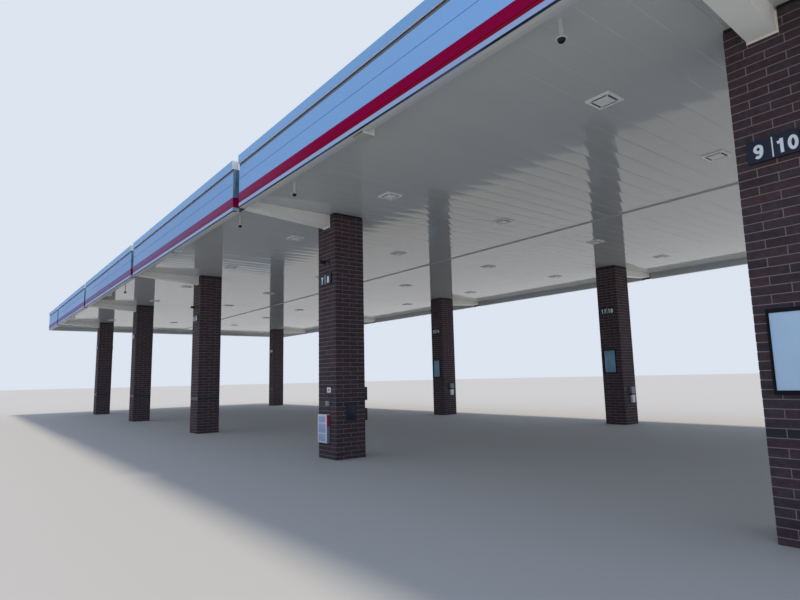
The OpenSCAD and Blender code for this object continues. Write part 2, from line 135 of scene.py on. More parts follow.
@dataclass(frozen=True)
class Finish:
    """A surface with a base colour that drifts in soft patches, and a fine relief.

    Sand, drag marks and orange peel are about 1 mm wide or less at this scale, too fine to show in
    the render, so their grains are drawn as coarse as they need to be.

    Attributes:
        name: The material's common name and how its surface was made.
        colour: Colour of the clean surface.
        worn: Colour that the patches drift to.
        patch: Size of the patches.
        drift: Largest share of the worn colour.
        roughness: Roughness in the clean and in the worn patches.
        grain: Size of the relief's grains.
        relief: Height of the relief.
        stretch: How many times longer the patches are along X, Y and Z.
        metallic: Share of the bare metal's look.
        ior: Index of refraction.
        specular: Strength of the shine, where 0.5 is what the index gives.
        flop: Painted reflection of the sky: colour that the coat turns to at flat angles, the share
        there, and between which values of 1 - cos of the angle it turns; the share 0 leaves it out.
    """

    name: str
    colour: str
    worn: str
    patch: float = 0.5
    drift: float = 0.35
    roughness: tuple[float, float] = (0.3, 0.42)
    grain: float = 0.004
    relief: float = 0.00004
    stretch: tuple[float, float, float] = (1.0, 1.0, 1.0)
    metallic: float = 0.0
    ior: float = 1.5
    specular: float = 0.5
    flop: tuple[str, float, float, float] = ("#ffffff", 0.0, 0.5, 1.0)

    def clean_colour(self, tree: bpy.types.NodeTree, place: bpy.types.NodeSocket) -> object:
        """Give the colour, or the socket that carries it, before the patches are mixed in."""
        return linear(self.colour)

    def finish_shader(self, shader: bpy.types.Node) -> None:
        """Set what only some finishes have on the shader's own sockets."""

    def turned_colour(self, tree: bpy.types.NodeTree, colour: bpy.types.NodeSocket) -> object:
        """Paint a sheen of the sky's reflection at flat angles, by how far the surface looks away.

        Args:
            tree: The material's node tree.
            colour: The colour that the surface has from straight ahead.

        Returns:
            The socket that carries the colour at the angle in view.
        """
        turned, most, start, end = self.flop
        if not most:
            return colour
        facing = add_node(tree, "ShaderNodeLayerWeight", {"Blend": 0.5}).outputs["Facing"]
        flat = add_node(tree, "ShaderNodeMapRange",
                        {"Value": facing, "From Min": start, "From Max": end,
                         "To Min": 0.0, "To Max": most}, interpolation_type="SMOOTHSTEP").outputs[0]
        return add_node(tree, "ShaderNodeMix", {MIX_SHARE: flat, MIX_A: colour, MIX_B: linear(turned)},
                        data_type="RGBA").outputs[MIX_RESULT]

    def material(self) -> bpy.types.Material:
        """Make the material once, and give the same one after that.

        Returns:
            The material named for this finish.
        """
        found = bpy.data.materials.get(self.name)
        if found:
            return found
        made = bpy.data.materials.new(self.name)
        made.use_nodes = True
        tree = made.node_tree
        tree.nodes.clear()
        place = add_node(tree, "ShaderNodeTexCoord").outputs["Object"]
        scaled = add_node(tree, "ShaderNodeMapping",
                          {"Vector": place, "Scale": [1 / s for s in self.stretch]}).outputs["Vector"]
        patches = add_node(tree, "ShaderNodeTexNoise",
                           {"Vector": scaled, "Scale": 1 / self.patch, "Detail": 4.0}).outputs[0]
        share, rough = (
            add_node(tree, "ShaderNodeMapRange",
                     {"Value": patches, "From Min": NOISE_LOW, "From Max": NOISE_HIGH,
                      "To Min": least, "To Max": most}).outputs[0]
            for least, most in ((0.0, self.drift), self.roughness))
        colour = add_node(tree, "ShaderNodeMix",
                          {MIX_SHARE: share, MIX_A: self.clean_colour(tree, place),
                           MIX_B: linear(self.worn)}, data_type="RGBA").outputs[MIX_RESULT]
        grains = add_node(tree, "ShaderNodeTexNoise",
                          {"Vector": place, "Scale": 1 / self.grain, "Detail": 3.0}).outputs[0]
        bump = add_node(tree, "ShaderNodeBump",
                        {"Strength": 1.0, "Distance": self.relief, "Height": grains}).outputs[0]
        shader = add_node(tree, "ShaderNodeBsdfPrincipled",
                          {"Base Color": self.turned_colour(tree, colour), "Roughness": rough,
                           "Normal": bump, "Metallic": self.metallic, "IOR": self.ior,
                           "Specular IOR Level": self.specular})
        self.finish_shader(shader)
        add_node(tree, "ShaderNodeOutputMaterial", {"Surface": shader.outputs[0]})
        return made


class Zone(Enum):
    """Where a zone of a folded sheet lies, against a limit."""

    BELOW = "height over the node's underside less than the limit"
    OUTSIDE = "distance inwards from the fascia's face less than the limit"
    INSIDE = "distance inwards from the fascia's face more than the limit"


@dataclass(frozen=True)
class ZonedSheet(Finish):
    """A finish in zones, as on a folded sheet of more than one colour; some zones hold painted shade and
    painted light instead.

    The distance inwards from the fascia's face is u = min(a - |x|, b - |y|), where a and b are
    the half length and the half width of the fascia.

    Attributes:
        node: The CAD node whose underside the heights count from.
        zones: Kind, limit and colour of each zone, of which the last one that holds wins.
    """

    node: str = "closure_near"
    zones: tuple[tuple[Zone, float, str], ...] = ()

    def clean_colour(self, tree: bpy.types.NodeTree, place: bpy.types.NodeSocket) -> object:
        """Lay the zones' colours over the main one.

        Args:
            tree: The material's node tree.
            place: The socket of the place on the piece.

        Returns:
            The socket that carries the colour.
        """
        axes = add_node(tree, "ShaderNodeSeparateXYZ", {0: place}).outputs
        reach = []
        for axis, half in (("X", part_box("closure_right")[1].x), ("Y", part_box("closure_far")[1].y)):
            size = add_node(tree, "ShaderNodeMath", {0: axes[axis]}, operation="ABSOLUTE").outputs[0]
            reach.append(add_node(tree, "ShaderNodeMath", {0: half, 1: size},
                                  operation="SUBTRACT").outputs[0])
        inwards = add_node(tree, "ShaderNodeMath", {0: reach[0], 1: reach[1]},
                           operation="MINIMUM").outputs[0]
        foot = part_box(self.node)[0].z
        colour = linear(self.colour)
        for kind, limit, paint in self.zones:
            measure, edge = (axes["Z"], foot + limit) if kind is Zone.BELOW else (inwards, limit)
            inside = add_node(tree, "ShaderNodeMath", {0: measure, 1: edge},
                              operation="GREATER_THAN" if kind is Zone.INSIDE else "LESS_THAN").outputs[0]
            colour = add_node(tree, "ShaderNodeMix",
                              {MIX_SHARE: inside, MIX_A: colour, MIX_B: linear(paint)},
                              data_type="RGBA").outputs[MIX_RESULT]
        return colour


@dataclass(frozen=True)
class KilnBrick(Finish):
    """Brick faces that differ from brick to brick, by the "tone" stored on each.

    Attributes:
        tones: Colours from the lowest tone to the highest.
        mark: Size of the fire marks.
        shade: How much the marks darken and brighten the brick's colour.
    """

    tones: tuple[str, ...] = ()
    mark: float = 0.03
    shade: tuple[float, float] = (0.72, 1.18)

    def clean_colour(self, tree: bpy.types.NodeTree, place: bpy.types.NodeSocket) -> object:
        """Give each brick's own colour, with fire marks on it.

        Args:
            tree: The material's node tree.
            place: The socket of the place on the piece.

        Returns:
            The socket that carries the colour.
        """
        tone = add_node(tree, "ShaderNodeAttribute", attribute_name="tone").outputs["Fac"]
        ramp = add_node(tree, "ShaderNodeValToRGB", {0: tone})
        stops = ramp.color_ramp.elements
        for number, colour in enumerate(self.tones):
            at = number / (len(self.tones) - 1)
            stop = stops[number] if number < 2 else stops.new(at)
            stop.position = at
            stop.color = linear(colour)
        marks = add_node(tree, "ShaderNodeTexNoise",
                         {"Vector": place, "Scale": 1 / self.mark, "Detail": 5.0}).outputs[0]
        depth = add_node(tree, "ShaderNodeMapRange",
                         {"Value": marks, "From Min": 0.3, "From Max": 0.7,
                          "To Min": self.shade[0], "To Max": self.shade[1]}).outputs[0]
        return add_node(tree, "ShaderNodeMix", {MIX_SHARE: 1.0, MIX_A: ramp.outputs[0], MIX_B: depth},
                        data_type="RGBA", blend_type="MULTIPLY").outputs[MIX_RESULT]


@dataclass(frozen=True)
class ClearMoulding(Finish):
    """A moulded plastic that lets some light through.

    Attributes:
        transmission: Share of the light that goes through.
    """

    transmission: float = 0.5

    def finish_shader(self, shader: bpy.types.Node) -> None:
        """Let light through."""
        shader.inputs["Transmission Weight"].default_value = self.transmission


# Extruded clay brick, wire cut and fired dark: dull, with fine drag marks and a colour of its own
# for each brick.
BRICK = KilnBrick("wire_cut_clay_brick", "#4a3c3a", "#2e2625", patch=0.06, drift=0.3,
                  roughness=(0.74, 0.9), grain=0.003, relief=0.0006, stretch=(3.0, 3.0, 1.0), specular=0.3,
                  tones=("#433a40", "#4a3e43", "#4d3e42", "#473f44", "#503d41", "#463c42", "#543f41"))
# Glazed clay brick: the same body under a dark glassy glaze, which shows as one smooth course.
GLAZE = Finish("glazed_clay_brick", "#1d2029", "#13161d", patch=0.08, roughness=(0.3, 0.4),
               grain=0.01, relief=0.0003, specular=0.3)
# Sand and cement mortar, struck back from the brick faces: sandy and dull.
MORTAR = Finish("struck_cement_mortar", "#948688", "#776b6d", patch=0.12, roughness=(0.88, 0.96),
                grain=0.0015, relief=0.0005, specular=0.2)
# Coil coated steel pans: glossy white paint, which mirrors what lies under it at a low angle.
PAN_FACE = Finish("coil_coated_steel_pan", "#c9cccb", "#babdbd", patch=0.9, roughness=(0.03, 0.06),
                  grain=0.05, relief=0.00002, stretch=(1.0, 4.0, 1.0), ior=1.6)
# The pans' upper side: hot dip galvanised, with dull spangle.
PAN_BACK = Finish("galvanised_steel_sheet", "#a9adb0", "#8b9093", patch=0.03, roughness=(0.38, 0.55),
                  grain=0.012, relief=0.00003, metallic=0.6)
# Box beams of coated steel: satin off-white.
BEAM_COAT = Finish("satin_coated_box_beam", "#f8f8f2", "#e8e8e2", roughness=(0.34, 0.44), specular=0.3)
# Folded steel boxes in the beams' coat. The outer end is painted dark as painted shade, standing for the
# shade inside an open end, and the underside is painted grey as painted shade.
EDGE_BOX = ZonedSheet("satin_coated_folded_box", "#f4f4ec", "#e2e2da", patch=0.2,
                      roughness=(0.34, 0.44), specular=0.3, node="edge_boxes",
                      zones=((Zone.OUTSIDE, 0.0253, "#24282a"), (Zone.BELOW, 0.0015, "#a3a49f")))
# Folded steel trim: a pale face, tinted blue as painted sky light; a drip groove whose navy is painted
# shade in the groove; and a light grey foot whose inner part is a little darker.
TRIM = ZonedSheet("folded_trim_polyester_coat", "#a9bfe6", "#9aafd6", patch=0.7, roughness=(0.34, 0.44),
                  specular=0.15, node="closure_near",
                  zones=((Zone.BELOW, 0.0142, "#1c2836"), (Zone.BELOW, 0.0007, "#d2d3cf"),
                         (Zone.INSIDE, 0.045, "#c6c9c6")))
# Fluoropolymer coated sheet in crimson, with a set back strip along its foot. Its bluish turn at flat
# angles is a painted reflection of the sky.
CRIMSON = ZonedSheet("crimson_fluoropolymer_sheet", "#9c0f43", "#8d093a", patch=0.8, drift=0.25,
                     roughness=(0.5, 0.6), specular=0.0, flop=("#8ba0cc", 0.8, 0.52, 0.97),
                     node="red_band_near", zones=((Zone.BELOW, 0.0312, "#921a34"),))
# Aluminium composite panel with a silver coat, satin; its blue, also at flat angles, is a painted
# reflection of the sky. Its upstand under the coping is grey brown as painted shade in the recess.
COMPOSITE = ZonedSheet("silver_composite_panel", "#918d86", "#80add9", patch=1.4, drift=0.3,
                       roughness=(0.34, 0.44), grain=0.0015, relief=0.00002, stretch=(3.0, 3.0, 1.0),
                       specular=0.05, flop=("#7f9cc4", 0.5, 0.4, 0.85), node="silver_panels_near",
                       zones=((Zone.BELOW, 0.2985, "#96c7fb"),))
# Folded coping in the same works' coat, in soft patches; its pale blue is a painted reflection of the sky.
COPING = Finish("coated_steel_coping", "#8ebff0", "#82b0e0", patch=0.9, roughness=(0.4, 0.5),
                stretch=(3.0, 3.0, 1.0), specular=0.15)
# The panels' folded returns in the slots: their deeper blue is painted shade, and their pale upright
# streaks are painted highlights.
SHADED_RETURN = Finish("shaded_panel_return_painted_highlights", "#4a7090", "#a9c4d6", patch=0.03, drift=0.55,
                roughness=(0.25, 0.4), stretch=(1.0, 1.0, 6.0), specular=0.3)
# The copings' cut ends and undersides, in white as painted light: sun on the ends, light from below
# under the copings.
LIT_COPING_END = Finish("painted_light_coping_return", "#fafcfc", "#e9eded", patch=0.1, roughness=(0.34, 0.44),
                    specular=0.3)
# Coated steel plates at the back of the slots, dark navy as painted shade in the slots.
SLOT_BACK = Finish("slot_back_painted_shade", "#1c2735", "#141c27", patch=0.2, roughness=(0.3, 0.45))
# Shop primed steel: flat zinc grey with soft runs.
PRIMER = Finish("zinc_primed_steel", "#a2a6a6", "#868a8a", patch=0.18, roughness=(0.55, 0.7),
                grain=0.003, relief=0.0001)
# Black enamel on the closures at the pier tops and on the posts, dusty.
ENAMEL = Finish("black_enamelled_steel", "#17191c", "#24262a", patch=0.1, roughness=(0.45, 0.6),
                specular=0.3)
# Silicone sealant, tooled: cream white, soft sheen.
SEALANT = Finish("tooled_silicone_sealant", "#fbf3ea", "#e6ddd4", patch=0.05, roughness=(0.4, 0.55),
                 relief=0.0004)
# Die cast aluminium with white powder coat: fine orange peel.
POWDER = Finish("white_powder_coat", "#e4e5e1", "#d5d6d2", patch=0.3, roughness=(0.34, 0.44),
                grain=0.002, relief=0.00008)
# The lamps' castings in a whiter powder coat, with the lowest face, of the plate in the middle, a
# touch cooler than the ring.
LAMP_CAST = ZonedSheet("powder_coated_lamp_casting", "#fdfdf9", "#f1f1ed", patch=0.3,
                       roughness=(0.34, 0.44), grain=0.002, relief=0.00008, node="light_fittings",
                       zones=((Zone.BELOW, 0.0015, "#f4f6f4"),))
# The same coat on the walls of the lamps' slots, painted mid grey as shade in the slots, and dull.
SLOT_SHADE = Finish("lamp_slot_painted_shade", "#8b9091", "#74797a", patch=0.02, roughness=(0.7, 0.8),
                   specular=0.2)
# Prismatic acrylic in front of unlit lamps, satin; its grey is painted shade of the slots it sits behind.
LENS = ClearMoulding("prismatic_acrylic_lens", "#7f8588", "#6e7477", patch=0.05, roughness=(0.25, 0.35),
                     relief=0.0004, ior=1.49, specular=0.2, transmission=0.1)
# Smoked polycarbonate domes: near black and glassy.
SMOKED = Finish("smoked_polycarbonate", "#0a0b0e", "#121418", patch=0.02, roughness=(0.05, 0.09),
                ior=1.58, specular=0.25)
# Cast acrylic sign plate, dark navy, satin.
PLATE = Finish("navy_acrylic_plate", "#1e2a3c", "#17212f", patch=0.1, roughness=(0.3, 0.4), ior=1.49,
               specular=0.25)
# Cut numerals of white acrylic, with a faint blue tint that is painted sky light.
NUMERAL = Finish("white_acrylic_numeral", "#f0f8ff", "#e6effa", patch=0.05, roughness=(0.3, 0.4),
                 ior=1.49)
# Black anodised aluminium extrusion of the poster cases: satin, with hardly any shine.
ANODISED = Finish("black_anodised_aluminium", "#0f131a", "#171c24", patch=0.1, roughness=(0.36, 0.46),
                  specular=0.12)
# Back printed card behind a clear sheet: pale blue and glossy.
CARD = Finish("pale_blue_card_under_glazing", "#c8e6fb", "#b9d9f2", patch=0.25, roughness=(0.1, 0.16),
              specular=0.4)
# The same in the two small cases, in a deeper blue: partly their own print, partly painted shade
# deep under the roof.
DEEP_CARD = Finish("deep_blue_card_under_glazing", "#7aa7c5", "#6c9ab9", patch=0.25,
                   roughness=(0.1, 0.16), specular=0.4)
# Injection moulded ABS in white, black and grey: satin.
WHITE_ABS = Finish("moulded_white_abs", "#e8eaf1", "#d6d8df", patch=0.08, roughness=(0.34, 0.44), ior=1.53)
BLACK_ABS = Finish("moulded_black_abs", "#111316", "#1b1e22", patch=0.06, roughness=(0.35, 0.5), ior=1.53)
GREY_ABS = Finish("moulded_grey_abs", "#8f8b96", "#7b7883", patch=0.06, roughness=(0.4, 0.52), ior=1.53)
# Red vinyl film on the cabinet's side: smooth, with a low sheen.
RED_FILM = Finish("red_vinyl_film", "#b5344a", "#a12c40", patch=0.05, roughness=(0.3, 0.4), specular=0.3)
# Blue printed panel of the notice cabinet, left without words: mottled and satin.
BLUE_PRINT = Finish("blue_printed_panel", "#a8b6d8", "#97a6ca", patch=0.03, drift=0.7,
                    roughness=(0.3, 0.4))


# Shapes


def skin(rings: int, sides: int) -> list[np.ndarray]:
    """Join rings of points into a closed tube with a flat cap at each end.

    The quad at ring r and side s joins points s and s + 1 of rings r and r + 1. A ring that runs
    anticlockwise, seen from the end that the rings are carried towards, faces outwards.

    Args:
        rings: Number of rings.
        sides: Points in a ring.

    Returns:
        The quads and the two caps.
    """
    ring, side = np.meshgrid(np.arange(rings - 1), np.arange(sides), indexing="ij")
    a = ring * sides + side
    b = ring * sides + (side + 1) % sides
    quads = np.stack([a, b, b + sides, a + sides], -1).reshape(-1, 4)
    ends = np.stack([np.arange(sides)[::-1], (rings - 1) * sides + np.arange(sides)])
    return [quads, ends]


def rounded_ring(half_w: float, half_h: float, radius: float, steps: int = 4) -> np.ndarray:
    """Give the outline of a rectangle with rounded corners, anticlockwise.

    Each point is its corner's centre plus the radius times (cos t, sin t), and t runs through the
    quarter turn of that corner.

    Args:
        half_w: Half of the width.
        half_h: Half of the height.
        radius: Radius of the corners.
        steps: Segments in a corner.

    Returns:
        Points with two coordinates.
    """
    turn = np.radians((np.arange(4)[:, None] * 90 + np.linspace(0, 90, steps + 1)).ravel())
    quarter = np.radians(np.repeat(np.arange(4) * 90 + 45, steps + 1))
    sign = np.sign(np.stack([np.cos(quarter), np.sin(quarter)], 1))
    centres = sign * (np.array([half_w, half_h]) - radius)
    return centres + radius * np.stack([np.cos(turn), np.sin(turn)], 1)


@dataclass
class Shape:
    """Points and faces gathered for one piece.

    Attributes:
        points: Blocks of points.
        faces: Corner numbers of each face.
        palette: The finishes in use, each with its number.
        numbers: Number of each face's finish.
        tones: The brick tone at each point.
        count: Points gathered so far.
    """

    points: list[np.ndarray] = field(default_factory=list)
    faces: list[list[int]] = field(default_factory=list)
    palette: dict[Finish, int] = field(default_factory=dict)
    numbers: list[int] = field(default_factory=list)
    tones: list[np.ndarray] = field(default_factory=list)
    count: int = 0

    def add(self, points: np.ndarray, faces: Sequence[np.ndarray], finish: Finish,
            tones: Optional[np.ndarray] = None) -> None:
        """Add points and the faces between them.

        Args:
            points: Points, whose last axis is x, y and z.
            faces: Blocks of faces, each with one number of corners.
            finish: The finish of these faces.
            tones: Tone at each point, or none for 0.
        """
        flat = np.asarray(points, float).reshape(-1, 3)
        self.cover(faces, finish, self.count)
        self.points.append(flat)
        self.tones.append(np.zeros(len(flat)) if tones is None else tones)
        self.count += len(flat)

    def cover(self, faces: Sequence[np.ndarray], finish: Finish, first: int = 0) -> None:
        """Add faces alone.

        Args:
            faces: Blocks of faces, each with one number of corners.
            finish: The finish of these faces.
            first: Number of the point that the faces call 0.
        """
        number = self.palette.setdefault(finish, len(self.palette))
        for block in faces:
            self.faces.extend((np.asarray(block) + first).tolist())
            self.numbers.extend([number] * len(block))

    def make(self, name: str, slot: str, replaces: Sequence[str] = (),
             sharp: Optional[float] = None) -> bpy.types.Object:
        """Make the piece, fix it to the part's body and dress it.

        Args:
            name: Name of the piece.
            slot: The record's material slot; not used.
            replaces: CAD nodes that the piece stands for.
            sharp: Angle in degrees above which an edge stays sharp, or none for flat faces.

        Returns:
            The new object.
        """
        mesh = bpy.data.meshes.new(name)
        mesh.from_pydata(np.concatenate(self.points).tolist(), [], self.faces)
        for finish in self.palette:
            mesh.materials.append(finish.material())
        mesh.polygons.foreach_set("material_index", np.array(self.numbers, np.int32))
        tones = np.concatenate(self.tones)
        if tones.any():
            stored = mesh.attributes.new("tone", "FLOAT", "POINT")
            stored.data.foreach_set("value", tones.astype(np.float32))
        if sharp is None:
            mesh.shade_flat()
        else:
            mesh.shade_smooth()
            mesh.set_sharp_from_angle(angle=math.radians(sharp))
        mesh.update()
        piece = bpy.data.objects.new(name, mesh)
        bpy.context.scene.collection.objects.link(piece)
        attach(piece, BODY)
        if replaces:
            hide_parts(*replaces)
        LOG.info("%s: %d points, %d faces", name, len(mesh.vertices), len(mesh.polygons))
        return piece


def merged_node(node: str) -> tuple[np.ndarray, np.ndarray]:
    """Read a CAD node's loose triangles with their shared points merged.

    Args:
        node: Name of the node.

    Returns:
        The points, and the triangles' corner numbers.
    """
    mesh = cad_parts[node].data
    points = np.empty(len(mesh.vertices) * 3)
    mesh.vertices.foreach_get("co", points)
    corners = np.empty(len(mesh.loops), np.int64)
    mesh.loops.foreach_get("vertex_index", corners)
    unique, where = np.unique(np.round(points.reshape(-1, 3), MERGE_DECIMALS), axis=0,
                              return_inverse=True)
    triangles = where.reshape(-1)[corners].reshape(-1, 3)
    whole = np.all(triangles != np.roll(triangles, 1, axis=1), axis=1)
    return unique, triangles[whole]


def plan_of(node: str) -> tuple[np.ndarray, float]:
    """Measure a square CAD node from above.

    Args:
        node: Name of the node.

    Returns:
        Its middle in X and Y, and half of its width.
    """
    low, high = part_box(node)
    return np.array([(low.x + high.x) / 2, (low.y + high.y) / 2]), (high.x - low.x) / 2


# Brickwork


@dataclass
class BrickPier:
    """A square pier of L-shaped corner bricks and straight bricks round a mortar core.

    Courses with an odd number lay the corner bricks' long legs on the faces towards -Y and +Y
    and a straight brick in the middle of the other two faces. Even courses do it the other way
    round. One course is glazed.

    Attributes:
        node: The CAD node.
        outward: -1 in the near row and 1 in the far row, the way that the beam leaves.
        seed: Seed of the bricks' tones and set backs.
        brick_l: Length of a brick.
        brick_h: Height of a brick.
        joint: Thickness of a joint.
        buried: How far the first course stands in the ground.
        depth: Depth of a brick from its face.
        arris: Size of the worn edge round a brick's face.
        set_back: Largest set back of a brick from the face.
        tone: Lowest and highest tone of a brick, where 0 stands for what is no brick.
        recess: Depth of the mortar behind the face, and how much lower its top is than the pier's.
        glazed: Number of the glazed course.
        notch_half: Half of the width of the cut round the beam.
        notch_low: Height of the underside of that cut.
        bed: Gap between the cut and the brick under it.
    """

    node: str
    outward: int
    seed: int
    brick_l: float = 0.1982
    brick_h: float = 0.0458
    joint: float = 0.005
    buried: float = 0.009
    depth: float = 0.040
    arris: float = 0.0012
    set_back: float = 0.0007
    tone: tuple[float, float] = (0.02, 1.0)
    recess: tuple[float, float] = (0.0022, 0.001)
    glazed: int = 13
    notch_half: float = 0.0823
    notch_low: float = 2.752
    bed: float = 0.002

    def __post_init__(self) -> None:
        """Measure the pier and work out its courses."""
        self.centre, self.half = plan_of(self.node)
        self.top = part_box(self.node)[1].z
        pitch = self.brick_h + self.joint
        course = np.arange(round((self.top + self.buried + self.joint) / pitch))
        self.low = np.maximum(course * pitch - self.buried, 0.0)
        self.high = course * pitch - self.buried + self.brick_h
        self.number = course + 1
        self.random = np.random.default_rng(self.seed)
        self.shape = Shape()

    def corner_outline(self, inset: float, long_leg: float, short_leg: float) -> np.ndarray:
        """Outline the brick at the +X +Y corner, with its long leg on the +Y face.

        Args:
            inset: How far the outline is drawn in.
            long_leg: Length of the brick on the +Y face.
            short_leg: Length of the brick on the +X face.

        Returns:
            Points with two coordinates, from the pier's middle.
        """
        out = self.half - inset
        back = self.half - self.depth
        x = self.half - long_leg + inset
        y = self.half - short_leg + inset
        c = self.arris
        return np.array([[x, back], [back, back], [back, y], [out - c, y], [out, y + c],
                         [out, out - c], [out - c, out], [x + c, out], [x, out - c]])

    def straight_outline(self, inset: float, start: float, end: float) -> np.ndarray:
        """Outline a straight brick on the +Y face.

        Args:
            inset: How far the outline is drawn in.
            start: Place of the brick's left end along X.
            end: Place of its right end.

        Returns:
            Points with two coordinates, from the pier's middle.
        """
        out = self.half - inset
        back = self.half - self.depth
        x, y, c = start + inset, end - inset, self.arris
        return np.array([[x, back], [y, back], [y, out - c], [y - c, out], [x + c, out], [x, out - c]])

    def lay(self, outline: Callable[[float], np.ndarray], slide: Sequence[Sequence[float]],
            low: np.ndarray, high: np.ndarray, signs: tuple[int, int], swap: bool,
            finish: Finish = BRICK) -> None:
        """Lay one brick of the same outline in each of several courses.

        A point is outline(inset of its ring) + set back of its brick * slide, at the height of
        its ring, then turned to its corner or face by the signs and the swap of x and y.

        Args:
            outline: Gives the outline for an inset.
            slide: How each point of the outline moves with the set back.
            low: Height of each brick's underside.
            high: Height of each brick's top.
            signs: Signs of the corner or face.
            swap: Whether x and y change places before the signs.
            finish: The bricks' finish.
        """
        if not len(low):
            return
        c = self.arris
        plan = np.stack([outline(inset) for inset in (c, 0.0, 0.0, c)])
        levels = np.stack([low, low + c, high - c, high], 1)
        back = self.random.uniform(0.0, self.set_back, len(low))
        flat = plan[None] + back[:, None, None, None] * np.array(slide, float)
        flat = (flat[..., ::-1] if swap else flat) * np.array(signs) + self.centre
        height = np.broadcast_to(levels[:, :, None, None], flat.shape[:-1] + (1,))
        rings, sides = plan.shape[:2]
        start = np.arange(len(low)) * rings * sides
        turned = swap != (signs[0] * signs[1] < 0)
        faces = [(block[:, ::-1] if turned else block) for block in skin(rings, sides)]
        tones = np.repeat(self.random.uniform(*self.tone, len(low)), rings * sides)
        self.shape.add(np.concatenate([flat, height], -1),
                       [(block[None] + start[:, None, None]).reshape(-1, block.shape[1])
                        for block in faces], finish, tones)

    def lay_corners(self) -> None:
        """Lay the corner bricks, cut short beside the beam."""
        slide = [[0, 0], [0, 0], [0, 0], [-1, 0], [-1, 0], [-1, -1], [-1, -1], [0, -1], [0, -1]]
        half_brick = (self.brick_l - self.joint) / 2
        for swap in (False, True):
            course = self.number % 2 == (0 if swap else 1)
            for signs in ((1, 1), (-1, 1), (-1, -1), (1, -1)):
                cut = (self.high > self.notch_low) & (not swap) & (signs[1] == self.outward)
                for rows, leg, finish in (
                        (course & ~cut & (self.number != self.glazed), self.brick_l, BRICK),
                        (course & (self.number == self.glazed), self.brick_l, GLAZE),
                        (course & cut, self.half - self.notch_half, BRICK)):
                    self.lay(lambda inset, leg=leg: self.corner_outline(inset, leg, half_brick), slide,
                             self.low[rows], self.high[rows], signs, swap, finish)

    def lay_straights(self) -> None:
        """Lay the straight bricks in the middle of the faces, and the slips round the beam."""
        slide = [[0, 0], [0, 0], [0, -1], [0, -1], [0, -1], [0, -1]]
        end = self.brick_l / 2
        for swap in (False, True):
            course = self.number % 2 == (1 if swap else 0)
            for way in (1, -1):
                signs = (way, 1) if swap else (1, way)
                cut = (self.high > self.notch_low) & (not swap) & (way == self.outward)
                for rows, finish in ((course & ~cut & (self.number != self.glazed), BRICK),
                                     (course & (self.number == self.glazed), GLAZE)):
                    self.lay(lambda inset: self.straight_outline(inset, -end, end), slide,
                             self.low[rows], self.high[rows], signs, swap, finish)
                if cut.any():
                    for start, stop in ((-end, -self.notch_half), (self.notch_half, end)):
                        self.lay(lambda inset, a=start, b=stop: self.straight_outline(inset, a, b), slide,
                                 self.low[course & cut], self.high[course & cut], signs, swap)
        under = (self.low < self.notch_low) & (self.high > self.notch_low)
        reach = self.notch_half - self.joint
        self.lay(lambda inset: self.straight_outline(inset, -reach, reach), slide, self.low[under],
                 np.full(under.sum(), self.notch_low - self.bed), (1, self.outward), False)

    def fill_joints(self) -> None:
        """Add the mortar: the CAD pier with its outer faces set back behind the bricks'."""
        points, triangles = merged_node(self.node)
        behind, lower = self.recess
        flat = points[:, :2] - self.centre
        edge = np.abs(flat) > self.half - IN_PLANE
        flat = np.where(edge, np.sign(flat) * (self.half - behind), flat)
        height = np.where(points[:, 2] > self.top - IN_PLANE, self.top - lower, points[:, 2])
        self.shape.add(np.column_stack([flat + self.centre, height]), [triangles], MORTAR)

    def build(self) -> None:
        """Build the pier in place of its CAD node."""
        self.lay_corners()
        self.lay_straights()
        self.fill_joints()
        self.shape.make(self.node.replace("pier", "brickwork"), "brick", [self.node])


# Deck


